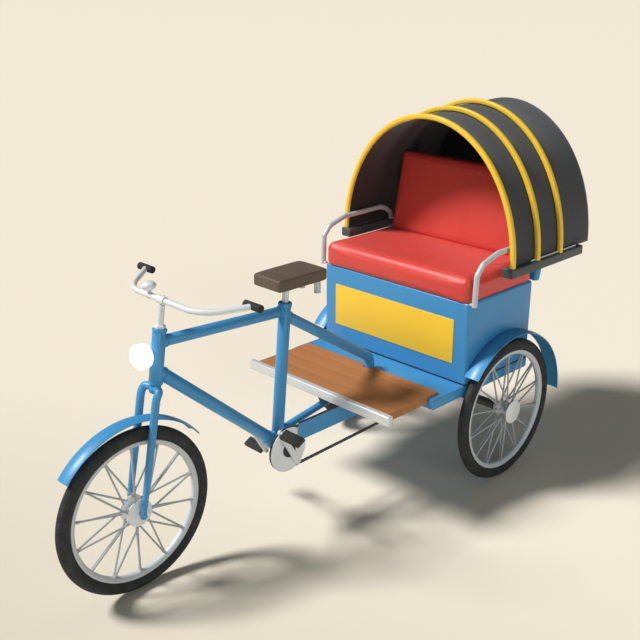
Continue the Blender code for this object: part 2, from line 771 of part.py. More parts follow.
def lower_stay():
    end = CHASSIS_FRONT - SEAT_GAP
    tube = rod(
        "lower_stay",
        (0.0, BOTTOM_BRACKET[0], stay_height(BOTTOM_BRACKET[0])),
        (0.0, end + LOWER_STAY_RADIUS, stay_height(end + LOWER_STAY_RADIUS)),
        LOWER_STAY_RADIUS,
        "blue_paint",
    )
    chassis_cut = block(
        "chassis_face_cut",
        (-LOWER_STAY_RADIUS * 2, end, CHASSIS_BOTTOM - LOWER_STAY_RADIUS * 2),
        (LOWER_STAY_RADIUS * 2, end + LOWER_STAY_RADIUS * 3, CHASSIS_TOP + LOWER_STAY_RADIUS),
        "blue_paint",
    )
    return combine(tube, [chassis_cut], "DIFFERENCE")


# Steering


def leg_plane():
    return FRONT_GUARD_HALF_WIDTH + SEAT_GAP + LEG_RADIUS


def fork():
    crown = on_steering_axis(HEAD_BOTTOM[1] - CROWN_DROP)
    steerer_top = Vector(from_plane(HEAD_TOP))
    body = rod("fork", from_plane(crown), steerer_top, STEERER_RADIUS, "blue_paint", pivot=STEERING)
    legs = []
    for side in (1, -1):
        x = side * leg_plane()
        shoulder = (x, crown[0] - LEG_LEAD, crown[1] - LEG_SHOULDER_DROP)
        tip = (x, FRONT_HUB[0], FRONT_HUB[1] - LEG_TIP_DROP)
        corners = [(0.0, *crown), (x, crown[0] - LEG_LEAD / 2, crown[1]), shoulder, tip]
        path = smooth_path(corners, LEG_SHOULDER_DROP)
        path.insert(-1, path[-2].lerp(path[-1], LEG_STRAIGHT_SHARE))
        tapers = [1.0] * (len(path) - 1) + [LEG_TIP_SHARE]
        legs.append(bent_tube("fork_leg", path, LEG_RADIUS, "blue_paint", tapers, STEERING))
    combine(body, legs, "UNION")


def arc_strip(name, centre, radius, start, end, low_x, high_x, finish, pivot=None):
    """A strip rolled to an arc and crowned across, thickened inwards. Angles from the rear, over the top."""
    bm = bmesh.new()
    rows = []
    for step in range(GUARD_STEPS + 1):
        angle = start + (end - start) * step / GUARD_STEPS
        row = []
        for column in range(GUARD_COLUMNS + 1):
            across = column / GUARD_COLUMNS
            reach = radius - GUARD_CROWN * (2 * across - 1) ** 2
            x = low_x + (high_x - low_x) * across
            y = centre[0] + reach * math.cos(angle)
            z = centre[1] + reach * math.sin(angle)
            row.append(bm.verts.new((x, y, z)))
        rows.append(row)
    for first, second in zip(rows, rows[1:]):
        for column in range(GUARD_COLUMNS):
            bm.faces.new((first[column], first[column + 1], second[column + 1], second[column]))
    bmesh.ops.recalc_face_normals(bm, faces=bm.faces)
    mesh = bpy.data.meshes.new(name)
    bm.to_mesh(mesh)
    bm.free()
    if mesh.polygons[0].normal.dot(mesh.polygons[0].center - Vector((0.0, *centre))) < 0:
        mesh.flip_normals()
    mesh.shade_smooth()
    obj = add_object(name, mesh, finish, pivot)
    thicken = obj.modifiers.new("sheet", "SOLIDIFY")
    thicken.thickness = GUARD_THICKNESS
    thicken.offset = -1.0
    return obj


def front_mudguard():
    arc_strip(
        "front_mudguard",
        FRONT_HUB,
        FRONT_GUARD_RADIUS,
        FRONT_GUARD_START,
        FRONT_GUARD_END,
        -FRONT_GUARD_HALF_WIDTH,
        FRONT_GUARD_HALF_WIDTH,
        "blue_paint",
        STEERING,
    )


def bar_points():
    centre = Vector((0.0, on_steering_axis(BAR_HEIGHT)[0], BAR_HEIGHT))
    grip = Vector((GRIP_X, centre.y + GRIP_BACK, BAR_HEIGHT + GRIP_RISE))
    bend = Vector((BAR_BEND_X, centre.y, BAR_HEIGHT))
    corner = Vector((BAR_CORNER_X, centre.y + BAR_CORNER_BACK, BAR_HEIGHT))
    tip = grip + (corner - grip).normalized() * GRIP_RADIUS / 2
    return centre, bend, corner, tip, grip


def handlebar():
    centre, bend, corner, tip, grip = bar_points()
    half = [centre, bend, corner, tip]
    mirrored = [Vector((-point.x, point.y, point.z)) for point in half[:0:-1]]
    path = smooth_path(mirrored + half, BAR_BEND_X)
    bar = bent_tube("handlebar", path, BAR_RADIUS, "bright_metal", pivot=STEERING)
    reach = grip.x + GRIP_HALF * 2
    seat_ends = [(place, grip.y, grip.z) for place in (-reach, reach)]
    seat = rod("grip_seats", *seat_ends, GRIP_RADIUS + SEAT_GAP, "bright_metal", pivot=STEERING)
    combine(bar, [seat], "DIFFERENCE")
    clamp_start = (-BAR_CLAMP_HALF, centre.y, centre.z)
    clamp_end = (BAR_CLAMP_HALF, centre.y, centre.z)
    stem_foot = Vector(from_plane(HEAD_TOP)) + HEAD_DIRECTION * SEAT_GAP
    stem = rod("stem", stem_foot, centre, STEM_RADIUS, "bright_metal", pivot=STEERING)
    clamp = rod("bar_clamp", clamp_start, clamp_end, BAR_CLAMP_RADIUS, "bright_metal", pivot=STEERING)
    combine(stem, [clamp], "UNION")
    bore = rod(
        "bar_bore",
        (-BAR_CLAMP_HALF - CUT_OVERRUN, centre.y, centre.z),
        (BAR_CLAMP_HALF + CUT_OVERRUN, centre.y, centre.z),
        BAR_RADIUS + RUNNING_GAP,
        "bright_metal",
        pivot=STEERING,
    )
    combine(stem, [bore], "DIFFERENCE")
    for tag, side in (("left", 1), ("right", -1)):
        start = (side * (grip.x - GRIP_HALF), grip.y, grip.z)
        end = (side * (grip.x + GRIP_HALF), grip.y, grip.z)
        rod("grip_" + tag, start, end, GRIP_RADIUS, "rubber", pivot=STEERING)


def bell():
    centre = bar_points()[0]
    foot = centre.z + BAR_RADIUS + SEAT_GAP
    head = foot + BELL_POST_HEIGHT
    y = centre.y
    post_ends = [(BELL_X, y, height) for height in (foot, head + WELD_REACH)]
    post = rod("bell", *post_ends, BELL_POST_RADIUS, "bright_metal", pivot=STEERING)
    bm = bmesh.new()
    bmesh.ops.create_uvsphere(bm, u_segments=TUBE_SIDES, v_segments=8, radius=1.0)
    stretch = Matrix.Diagonal((BELL_RADIUS, BELL_RADIUS, BELL_DOME_HEIGHT, 1.0))
    lift = Matrix.Translation((BELL_X, y, head + BELL_DOME_HEIGHT / 2))
    bmesh.ops.transform(bm, matrix=lift @ stretch, verts=bm.verts)
    dome = add_object("bell_dome", mesh_from(bm, "bell_dome"), "bright_metal", STEERING)
    combine(post, [dome], "UNION")


def headlamp():
    axis_y, z = on_head(LAMP_SHARE)
    front = axis_y - LAMP_REACH - LAMP_HALF_DEPTH
    back = axis_y - LAMP_REACH + LAMP_HALF_DEPTH
    lamp = rod("headlamp", (0.0, back, z), (0.0, front, z), LAMP_RADIUS, "lamp_glass", sides=28)
    round_edges(lamp, LAMP_BEVEL, 3)
    stub = rod("lamp_bracket", (0.0, back + SEAT_GAP, z), (0.0, axis_y, z), LAMP_STUB_RADIUS, "blue_paint")
    reach = HEAD_DIRECTION * HEAD_RADIUS * 2
    seat = Vector((0.0, axis_y, z))
    head_cut = rod("head_face_cut", seat - reach, seat + reach, HEAD_RADIUS + SEAT_GAP, "blue_paint")
    combine(stub, [head_cut], "DIFFERENCE")


# Cranks, pedals and chain


def crank_tip(side):
    """The pedal pin's Y and Z. The two arms are opposite."""
    angle = CRANK_ANGLE if side > 0 else CRANK_ANGLE + math.pi
    return (
        BOTTOM_BRACKET[0] + CRANK_LENGTH * math.cos(angle),
        BOTTOM_BRACKET[1] + CRANK_LENGTH * math.sin(angle),
    )


def prism(name, outline, low_x, high_x, finish, pivot=None):
    """A flat outline of (Y, Z) points, given thickness along X."""
    bm = bmesh.new()
    ends = [[bm.verts.new((x, *point)) for point in outline] for x in (low_x, high_x)]
    bm.faces.new(ends[0])
    bm.faces.new(ends[1])
    count = len(outline)
    for step in range(count):
        after = (step + 1) % count
        bm.faces.new((ends[0][step], ends[0][after], ends[1][after], ends[1][step]))
    return add_object(name, mesh_from(bm, name), finish, pivot)


def crank_arm(side):
    """A flat arm with rounded ends, whose pin carries the pedal. The left one runs on past the spindle."""
    inner = side * CRANK_INNER
    outer = side * (CRANK_INNER + CRANK_THICKNESS)
    tip = crank_tip(side)
    angle = math.atan2(tip[1] - BOTTOM_BRACKET[1], tip[0] - BOTTOM_BRACKET[0])
    outline = []
    tail = along_line(BOTTOM_BRACKET, tip, -CRANK_TAIL / CRANK_LENGTH) if side > 0 else BOTTOM_BRACKET
    for centre, radius, turn in ((tip, CRANK_TIP_RADIUS, 0.0), (tail, CRANK_EYE_RADIUS, math.pi)):
        for step in range(CRANK_END_STEPS + 1):
            around = angle + turn - math.pi / 2 + math.pi * step / CRANK_END_STEPS
            outline.append((centre[0] + radius * math.cos(around), centre[1] + radius * math.sin(around)))
    arm = prism("crank_arm", outline, min(inner, outer), max(inner, outer), "bright_metal", CRANK)
    pin = rod(
        "pedal_pin",
        (inner + side * WELD_REACH, *tip),
        (outer + side * (PEDAL_INNER_CLEARANCE + PEDAL_LENGTH), *tip),
        PEDAL_PIN_RADIUS,
        "bright_metal",
        pivot=CRANK,
    )
    return [arm, pin]


def crank():
    reach = CRANK_INNER + CRANK_THICKNESS / 2
    spindle_ends = [from_plane(BOTTOM_BRACKET, place) for place in (-reach, reach)]
    spindle = rod("crank", *spindle_ends, SPINDLE_RADIUS, "bright_metal", pivot=CRANK)
    half_disc = GUARD_DISC_THICKNESS / 2
    half_ring = SPROCKET_THICKNESS / 2
    disc = rod(
        "guard_disc",
        (GUARD_DISC_PLACE - half_disc, *BOTTOM_BRACKET),
        (GUARD_DISC_PLACE + half_disc, *BOTTOM_BRACKET),
        GUARD_DISC_RADIUS,
        "bright_metal",
        sides=WHEEL_STEPS,
        pivot=CRANK,
    )
    ring = rod(
        "chainring",
        (CHAIN_PLACE - half_ring, *BOTTOM_BRACKET),
        (CHAIN_PLACE + half_ring, *BOTTOM_BRACKET),
        CHAINRING_RADIUS - CHAIN_HALF_HEIGHT - RUNNING_GAP,
        "bright_metal",
        sides=WHEEL_STEPS,
        pivot=CRANK,
    )
    boss = rod(
        "ring_boss",
        (CHAIN_PLACE, *BOTTOM_BRACKET),
        (CRANK_INNER + CRANK_THICKNESS / 3, *BOTTOM_BRACKET),
        SPINDLE_CAP_RADIUS,
        "bright_metal",
        pivot=CRANK,
    )
    combine(spindle, [disc, ring, boss] + crank_arm(1) + crank_arm(-1), "UNION")


def pedal(tag, side):
    tip = crank_tip(side)
    pivot = add_pivot("pedal_axis_" + tag, *tip, x=side * (CRANK_INNER + CRANK_THICKNESS), parent=CRANK)
    inner = side * (CRANK_INNER + CRANK_THICKNESS + PEDAL_INNER_CLEARANCE)
    outer = inner + side * PEDAL_LENGTH
    outline = []
    for along, up in ((-1, -1), (1, -1), (1, 1), (-1, 1)):
        y, z = along * PEDAL_HALF_DEPTH, up * PEDAL_HALF_HEIGHT
        outline.append(
            (
                tip[0] + y * math.cos(PEDAL_TILT) - z * math.sin(PEDAL_TILT),
                tip[1] + y * math.sin(PEDAL_TILT) + z * math.cos(PEDAL_TILT),
            )
        )
    body = prism("pedal_" + tag, outline, min(inner, outer), max(inner, outer), "rubber", pivot)
    round_edges(body, PEDAL_BEVEL, 2)
    bore = rod(
        "pedal_bore",
        (inner - side * CUT_OVERRUN, *tip),
        (outer + side * CUT_OVERRUN, *tip),
        PEDAL_PIN_RADIUS + RUNNING_GAP,
        "rubber",
        pivot=pivot,
    )
    combine(body, [bore], "DIFFERENCE")


def chain_outline(offset):
    """Two arcs, round the chainring and the sprocket, joined by their outer tangents."""
    big = CHAINRING_RADIUS + offset
    small = REAR_SPROCKET_RADIUS + offset
    front = Vector(BOTTOM_BRACKET)
    rear = Vector((0.0, WHEEL_RADIUS))
    between = rear - front
    lean = math.atan2(between.y, between.x)
    open_angle = math.acos((big - small) / between.length)
    points = []
    front_steps, rear_steps = 20, 12
    front_sweep = math.tau - 2 * open_angle
    for step in range(front_steps + 1):
        angle = lean + open_angle + front_sweep * step / front_steps
        points.append((front.x + big * math.cos(angle), front.y + big * math.sin(angle)))
    for step in range(rear_steps + 1):
        angle = lean - open_angle + 2 * open_angle * step / rear_steps
        points.append((rear.x + small * math.cos(angle), rear.y + small * math.sin(angle)))
    return points


def chain():
    """A fixed loop of constant section."""
    bm = bmesh.new()
    rings = []
    for offset, x in (
        (CHAIN_HALF_HEIGHT, CHAIN_PLACE - CHAIN_HALF_WIDTH),
        (CHAIN_HALF_HEIGHT, CHAIN_PLACE + CHAIN_HALF_WIDTH),
        (-CHAIN_HALF_HEIGHT, CHAIN_PLACE + CHAIN_HALF_WIDTH),
        (-CHAIN_HALF_HEIGHT, CHAIN_PLACE - CHAIN_HALF_WIDTH),
    ):
        rings.append([bm.verts.new((x, *point)) for point in chain_outline(offset)])
    for ring, following in zip(rings, rings[1:] + rings[:1]):
        count = len(ring)
        for step in range(count):
            after = (step + 1) % count
            bm.faces.new((ring[step], ring[after], following[after], following[step]))
    add_object("chain", mesh_from(bm, "chain"), "rubber")


def chain_guard():
    """A flat plate over the chain's upper run, hung from the chassis and tied to the lower stay."""
    inner = CHAIN_GUARD_PLACE - CHAIN_GUARD_THICKNESS / 2
    outer = CHAIN_GUARD_PLACE + CHAIN_GUARD_THICKNESS / 2
    front = BOTTOM_BRACKET[0] + CHAIN_GUARD_LEAD
    plate = block(
        "chain_guard",
        (inner, front, CHAIN_GUARD_LOW),
        (outer, CHAIN_GUARD_REAR, CHAIN_GUARD_HIGH),
        "blue_paint",
    )
    tab = block(
        "chain_guard_tab",
        (inner, CHAIN_GUARD_REAR - CHAIN_GUARD_TAB * 2, CHAIN_GUARD_HIGH - CHAIN_GUARD_TAB),
        (outer, CHAIN_GUARD_REAR - CHAIN_GUARD_TAB, CHASSIS_BOTTOM - SEAT_GAP),
        "blue_paint",
    )
    strap_y = BOTTOM_BRACKET[0] + GUARD_DISC_RADIUS + STRAP_CLEARANCE
    strap_z = stay_height(strap_y) - LOWER_STAY_RADIUS
    strap = rod(
        "chain_guard_strap",
        (0.0, strap_y, strap_z),
        (CHAIN_GUARD_PLACE, strap_y, strap_z),
        LOWER_STAY_RADIUS / 3,
        "blue_paint",
        sides=8,
    )
    stay_cut = rod(
        "stay_cut",
        (0.0, strap_y - CHAIN_GUARD_TAB, stay_height(strap_y - CHAIN_GUARD_TAB)),
        (0.0, strap_y + CHAIN_GUARD_TAB, stay_height(strap_y + CHAIN_GUARD_TAB)),
        LOWER_STAY_RADIUS + SEAT_GAP,
        "blue_paint",
    )
    left_half = block(
        "far_side_cut",
        (-LOWER_STAY_RADIUS * 2, strap_y - LOWER_STAY_RADIUS * 2, strap_z - LOWER_STAY_RADIUS * 2),
        (SEAT_GAP, strap_y + LOWER_STAY_RADIUS * 2, strap_z + LOWER_STAY_RADIUS * 2),
        "blue_paint",
    )
    combine(strap, [stay_cut, left_half], "DIFFERENCE")
    combine(plate, [tab, strap], "UNION")


# Saddle


def saddle():
    top = Vector(from_plane(SEAT_TUBE_TOP))
    direction = (top - seat_tube_foot()).normalized()
    start = top + direction * SEAT_GAP
    end_z = SADDLE_BOTTOM - SEAT_GAP
    knee = start + direction * (end_z - SEAT_POST_RADIUS - start.z) / direction.z
    bent_tube("seat_post", [start, knee, (0.0, knee.y, end_z)], SEAT_POST_RADIUS, "bright_metal")
    block(
        "saddle",
        (-SADDLE_HALF_WIDTH, SADDLE_FRONT, SADDLE_BOTTOM),
        (SADDLE_HALF_WIDTH, SADDLE_REAR, SADDLE_TOP),
        "saddle_brown",
        bevel=SADDLE_BEVEL,
        segments=3,
    )
    for tag, side in (("left", 1), ("right", -1)):
        x = side * SPRING_X
        y = SADDLE_REAR - SPRING_SET_IN
        top_z = SADDLE_BOTTOM - SEAT_GAP
        rod(
            "saddle_spring_" + tag,
            (x, y, top_z - SPRING_LENGTH),
            (x, y, top_z),
            SPRING_RADIUS,
            "bright_metal",
        )


# Carriage


def chassis():
    """A floor sheet with folded sides and two ribs, open from below."""
    tray = block(
        "chassis",
        (-BOX_HALF_WIDTH, CHASSIS_FRONT, CHASSIS_BOTTOM),
        (BOX_HALF_WIDTH, BOX_REAR, CHASSIS_TOP),
        "blue_paint",
        bevel=CHASSIS_BEVEL,
    )
    bays = (
        (-BOX_HALF_WIDTH + CHASSIS_SKIN, -HANGER_PLACE - CHASSIS_RIB_HALF),
        (-HANGER_PLACE + CHASSIS_RIB_HALF, HANGER_PLACE - CHASSIS_RIB_HALF),
        (HANGER_PLACE + CHASSIS_RIB_HALF, BOX_HALF_WIDTH - CHASSIS_SKIN),
    )
    pockets = [
        block(
            "chassis_pocket",
            (low, CHASSIS_FRONT + CHASSIS_SKIN, CHASSIS_BOTTOM - CUT_OVERRUN),
            (high, BOX_REAR - CHASSIS_SKIN, CHASSIS_TOP - CHASSIS_SKIN),
            "blue_paint",
        )
        for low, high in bays
    ]
    combine(tray, pockets, "DIFFERENCE")


def footboard():
    """A board that lies on the chassis, thicker in front of it and notched for the frame's foot."""
    low = CHASSIS_TOP + SEAT_GAP
    front = BAR_FRONT + BAR_DEPTH + SEAT_GAP
    top = low + BOARD_THICKNESS
    edge_low = top - BOARD_EDGE_HEIGHT
    edge_rear = CHASSIS_FRONT - SEAT_GAP
    wide = BOARD_HALF_WIDTH
    board = block("footboard", (-wide, front, low), (wide, BOARD_REAR, top), "board_wood")
    thick = block("board_frame", (-wide, front, edge_low), (wide, edge_rear, top), "board_wood")
    combine(board, [thick], "UNION")
    reach = BACK_TUBE_RADIUS + SEAT_GAP
    notch = block(
        "board_notch",
        (-reach, BACK_TUBE_REAR[0] - reach, low - CUT_OVERRUN),
        (reach, BOARD_REAR + CUT_OVERRUN, top + CUT_OVERRUN),
        "board_wood",
    )
    combine(board, [notch], "DIFFERENCE")
    bar_top = top + BAR_HEIGHT_ABOVE
    block(
        "footboard_bar",
        (-BAR_HALF_LENGTH, BAR_FRONT, bar_top - BAR_SIDE),
        (BAR_HALF_LENGTH, BAR_FRONT + BAR_DEPTH, bar_top),
        "bright_metal",
        bevel=BAR_BEVEL,
    )
    for tag, side in (("left", 1), ("right", -1)):
        middle = side * BEARER_PLACE
        block(
            "footboard_bearer_" + tag,
            (middle - BEARER_SIDE / 2, front, edge_low - SEAT_GAP - BEARER_SIDE),
            (middle + BEARER_SIDE / 2, edge_rear, edge_low - SEAT_GAP),
            "blue_paint",
        )


def seat_box():
    """Four walls and a floor, closed by the seat board, which lies on a ledge."""
    low = CHASSIS_TOP + SEAT_GAP
    box = block(
        "seat_box",
        (-BOX_HALF_WIDTH, BOX_FRONT, low),
        (BOX_HALF_WIDTH, BOX_REAR, BOX_TOP),
        "blue_paint",
        bevel=BOX_BEVEL,
    )
    ledge = BOX_WALL + SEAT_BOARD_LEDGE
    inside = block(
        "seat_box_inside",
        (-BOX_HALF_WIDTH + ledge, BOX_FRONT + ledge, low + BOX_WALL),
        (BOX_HALF_WIDTH - ledge, BOX_REAR - ledge, BOX_TOP + CUT_OVERRUN),
        "blue_paint",
    )
    rebate = block(
        "seat_board_rebate",
        (-BOX_HALF_WIDTH + BOX_WALL, BOX_FRONT + BOX_WALL, BOX_TOP - SEAT_BOARD_THICKNESS - SEAT_GAP),
        (BOX_HALF_WIDTH - BOX_WALL, BOX_REAR - BOX_WALL, BOX_TOP + CUT_OVERRUN),
        "blue_paint",
    )
    combine(box, [inside, rebate], "DIFFERENCE")
    rim = BOX_WALL + SEAT_GAP
    block(
        "seat_board",
        (-BOX_HALF_WIDTH + rim, BOX_FRONT + rim, BOX_TOP - SEAT_BOARD_THICKNESS),
        (BOX_HALF_WIDTH - rim, BOX_REAR - rim, BOX_TOP),
        "board_wood",
    )
    block(
        "front_panel",
        (-PANEL_HALF_WIDTH, BOX_FRONT - SEAT_GAP - PANEL_THICKNESS, PANEL_LOW),
        (PANEL_HALF_WIDTH, BOX_FRONT - SEAT_GAP, PANEL_HIGH),
        "yellow_paint",
    )


def axle_hanger(tag, side):
    """A bearing tube round the axle, hung from the chassis rib on a plate."""
    start = (side * AXLE_TUBE_INNER, 0.0, WHEEL_RADIUS)
    end = (side * AXLE_TUBE_OUTER, 0.0, WHEEL_RADIUS)
    tube = rod("axle_hanger_" + tag, start, end, AXLE_TUBE_RADIUS, "dark_rail")
    middle = side * HANGER_PLACE
    plate = block(
        "hanger_plate",
        (middle - HANGER_THICKNESS / 2, -HANGER_HALF_DEPTH, WHEEL_RADIUS - HANGER_DROP),
        (middle + HANGER_THICKNESS / 2, HANGER_HALF_DEPTH, CHASSIS_BOTTOM - SEAT_GAP),
        "dark_rail",
    )
    pad = block(
        "hanger_pad",
        (middle - HANGER_PAD_HALF, -HANGER_PAD_HALF * 2, CHASSIS_BOTTOM - HANGER_THICKNESS),
        (middle + HANGER_PAD_HALF, HANGER_PAD_HALF * 2, CHASSIS_BOTTOM - SEAT_GAP),
        "dark_rail",
    )
    combine(tube, [plate, pad], "UNION")
    bore = rod(
        "hanger_bore",
        (side * (AXLE_TUBE_INNER - CUT_OVERRUN), 0.0, WHEEL_RADIUS),
        (side * (AXLE_TUBE_OUTER + CUT_OVERRUN), 0.0, WHEEL_RADIUS),
        REAR_AXLE_RADIUS + RUNNING_GAP,
        "dark_rail",
    )
    combine(tube, [bore], "DIFFERENCE")


def rear_mudguard(tag, side):
    near = side * (BOX_HALF_WIDTH + SEAT_GAP)
    far = near + side * REAR_GUARD_WIDTH
    arc_strip(
        "rear_mudguard_" + tag,
        (0.0, WHEEL_RADIUS),
        REAR_GUARD_RADIUS,
        REAR_GUARD_START,
        REAR_GUARD_END,
        min(near, far),
        max(near, far),
        "blue_paint",
    )


def leaning_block(name, foot, half_width, height, thickness, lean, finish, bevel, segments):
    """A slab that stands at its front lower edge (Y, Z) and leans back."""
    obj = block(name, (-half_width, 0.0, 0.0), (half_width, thickness, height), finish, bevel, segments)
    obj.location = (0.0, *foot)
    obj.rotation_euler = (-lean, 0.0, 0.0)
    return obj


def stand_flat(cushion, height):
    """Cuts a rounded block flat below a height, so that it stands on the piece below."""
    reach = CUSHION_HALF_WIDTH * 2
    slab = block("flat_cut", (-reach, -reach, height - reach), (reach, reach, height), "red_vinyl")
    combine(cushion, [slab], "DIFFERENCE")


def cushions():
    seat = block(
        "seat_cushion",
        (-CUSHION_HALF_WIDTH, CUSHION_FRONT, BOX_TOP + SEAT_GAP - CUSHION_BEVEL),
        (CUSHION_HALF_WIDTH, CUSHION_REAR, CUSHION_TOP),
        "red_vinyl",
        bevel=CUSHION_BEVEL,
        segments=4,
    )
    stand_flat(seat, BOX_TOP + SEAT_GAP)
    panel_y, panel_z = back_panel_foot()
    rest = CUSHION_TOP + SEAT_GAP
    deep = panel_y + (rest - panel_z) * math.tan(BACK_LEAN) - SEAT_GAP * 2 - BACK_CUSHION_FRONT
    thickness = deep * math.cos(BACK_LEAN)
    sunk = BACK_CUSHION_BEVEL * 2
    back = leaning_block(
        "back_cushion",
        (BACK_CUSHION_FRONT - sunk * math.sin(BACK_LEAN), rest - sunk * math.cos(BACK_LEAN)),
        BACK_CUSHION_HALF_WIDTH,
        BACK_CUSHION_HEIGHT + sunk,
        thickness,
        BACK_LEAN,
        "red_vinyl",
        BACK_CUSHION_BEVEL,
        4,
    )
    stand_flat(back, rest)


def hood_outline(y, shrink, steps):
    """Points (X, Z) of the hood's arch at a station, from its left foot over to its right foot."""
    half_width, height = hoop_size(y)
    points = []
    for step in range(steps + 1):
        angle = math.pi * step / steps
        z = RAIL_HIGH + SEAT_GAP + (height - shrink) * math.sin(angle)
        points.append(((half_width - shrink) * math.cos(angle), z))
    return points


def back_panel_foot():
    """The panel's front lower edge (Y, Z), held off the seat box's rear wall by two blocks."""
    return (BOX_REAR + BACK_PANEL_STANDOFF, BACK_PANEL_LOW)


def back_panel():
    foot = back_panel_foot()
    panel = leaning_block(
        "back_panel",
        foot,
        BACK_PANEL_HALF_WIDTH,
        BACK_PANEL_HEIGHT,
        BACK_PANEL_THICKNESS,
        BACK_LEAN,
        "blue_paint",
        BACK_PANEL_BEVEL,
        2,
    )
    bm = bmesh.new()
    shrink = HOOP_RADIUS + HOOD_THICKNESS + BACK_PANEL_HOOD_GAP
    outline = hood_outline(HOOP_STATIONS[1], shrink, HOOP_STEPS // 2)
    foot_z = BACK_PANEL_LOW - BACK_PANEL_THICKNESS
    corners = [(outline[0][0], foot_z)] + outline + [(outline[-1][0], foot_z)]
    ends = [
        [bm.verts.new((x, y, z)) for x, z in corners]
        for y in (BOX_FRONT, HOOD_REAR)
    ]
    bm.faces.new(ends[0])
    bm.faces.new(ends[1])
    count = len(corners)
    for step in range(count):
        after = (step + 1) % count
        bm.faces.new((ends[0][step], ends[0][after], ends[1][after], ends[1][step]))
    keep = add_object("panel_arch", mesh_from(bm, "panel_arch"), "blue_paint")
    combine(panel, [keep], "INTERSECT")
    standoffs = []
    for side in (1, -1):
        middle = side * BOX_HALF_WIDTH * STANDOFF_SHARE
        low = (middle - STANDOFF_HALF, BOX_REAR + SEAT_GAP, BACK_PANEL_LOW + STANDOFF_EDGE)
        high = (middle + STANDOFF_HALF, foot[0] + BACK_PANEL_THICKNESS / 2, BOX_TOP - STANDOFF_EDGE)
        standoffs.append(block("panel_standoff", low, high, "blue_paint"))
    combine(panel, standoffs, "UNION")


def armrest(tag, side):
    x = side * ARM_PLANE
    path = [(x, *point) for point in ARM_PATH]
    tube = bent_tube("armrest_" + tag, path, ARM_RADIUS, "bright_metal")
    lugs = []
    for place_y, place_z, wall in (
        (ARM_PATH[0][0], ARM_PATH[0][1], BOX_HALF_WIDTH),
        (ARM_PATH[-1][0], ARM_PATH[-1][1], BACK_PANEL_HALF_WIDTH),
    ):
        near = side * (wall + SEAT_GAP)
        low = (min(near, x), place_y - ARM_LUG_HALF, place_z + ARM_LUG_RISE)
        high = (max(near, x), place_y + ARM_LUG_HALF, place_z + ARM_LUG_HEIGHT)
        lugs.append(block("arm_lug", low, high, "bright_metal"))
    combine(tube, lugs, "UNION")


# Hood


def hood_rail(tag, side):
    inner = side * RAIL_INNER
    outer = side * RAIL_OUTER
    rail = block(
        "hood_rail_" + tag,
        (min(inner, outer), RAIL_FRONT, RAIL_LOW),
        (max(inner, outer), RAIL_REAR, RAIL_HIGH),
        "dark_rail",
        bevel=RAIL_BEVEL,
    )
    foot = back_panel_foot()
    middle_z = (RAIL_LOW + RAIL_HIGH) / 2
    middle_y = foot[0] + (middle_z - foot[1]) * math.tan(BACK_LEAN) + BACK_PANEL_THICKNESS / 2 + ARM_RADIUS
    near = side * (BACK_PANEL_HALF_WIDTH + SEAT_GAP)
    reach = inner + side * RAIL_WIDTH / 2
    bracket = block(
        "rail_bracket",
        (min(near, reach), middle_y - RAIL_BRACKET_HALF / 2, RAIL_LOW + RAIL_BEVEL),
        (max(near, reach), middle_y + RAIL_BRACKET_HALF / 2, RAIL_HIGH - RAIL_BEVEL),
        "dark_rail",
    )
    combine(rail, [bracket], "UNION")


def rod_place(side):
    half_width = hoop_size(HOOP_STATIONS[-1])[0]
    return side * (half_width - HOOP_RADIUS + ROD_RADIUS + RUNNING_GAP * 2)


def hood_rod(tag, side, name=None, radius=ROD_RADIUS, overrun=0.0):
    x = rod_place(side)
    z = RAIL_HIGH + SEAT_GAP + ROD_RADIUS
    return rod(
        name or "hood_rod_" + tag,
        (x, ROD_FRONT - overrun, z),
        (x, ROD_REAR + overrun, z),
        radius,
        "bright_metal",
        sides=10,
    )


def hoop(number, y):
    half_width, height = hoop_size(y)
    foot = RAIL_HIGH + SEAT_GAP
    points = [(half_width, y, foot), (half_width, y, foot + HOOP_RADIUS)]
    for step in range(1, HOOP_STEPS):
        angle = math.pi * step / HOOP_STEPS
        points.append((half_width * math.cos(angle), y, foot + height * math.sin(angle)))
    points += [(-half_width, y, foot + HOOP_RADIUS), (-half_width, y, foot)]
    made = bent_tube("hood_hoop_%d" % number, points, HOOP_RADIUS, "yellow_paint")
    if y > ROD_FRONT:
        holes = [
            hood_rod(tag, side, "rod_hole", ROD_RADIUS + RUNNING_GAP, CUT_OVERRUN)
            for tag, side in (("left", 1), ("right", -1))
        ]
        combine(made, holes, "DIFFERENCE")


def hood_canopy():
    """A stretched skin inside the hoops, closed at the rear and open to the front and below."""
    shrink = HOOP_RADIUS + SEAT_GAP
    clear = shrink + HOOP_RADIUS * HOOP_HEIGHT_GAIN / (HOOP_STATIONS[1] - HOOP_STATIONS[0])
    sizes = HOOP_STATIONS + (HOOD_REAR_SIZE_AT,)
    bm = bmesh.new()
    rows = []
    for y, size_at in zip(HOOP_STATIONS + (HOOD_REAR,), sizes):
        rows.append([bm.verts.new((x, y, z)) for x, z in hood_outline(size_at, clear, HOOP_STEPS)])
    for first, second in zip(rows, rows[1:]):
        for step in range(HOOP_STEPS):
            bm.faces.new((first[step], first[step + 1], second[step + 1], second[step]))
    bm.faces.new(rows[-1])
    bmesh.ops.recalc_face_normals(bm, faces=bm.faces)
    mesh = bpy.data.meshes.new("hood_canopy")
    bm.to_mesh(mesh)
    bm.free()
    top = mesh.polygons[HOOP_STEPS // 2]
    if top.normal.z < 0:
        mesh.flip_normals()
    obj = add_object("hood_canopy", mesh, "hood_cloth")
    thicken = obj.modifiers.new("cloth", "SOLIDIFY")
    thicken.thickness = HOOD_THICKNESS
    thicken.offset = -1.0
    thicken.use_even_offset = True


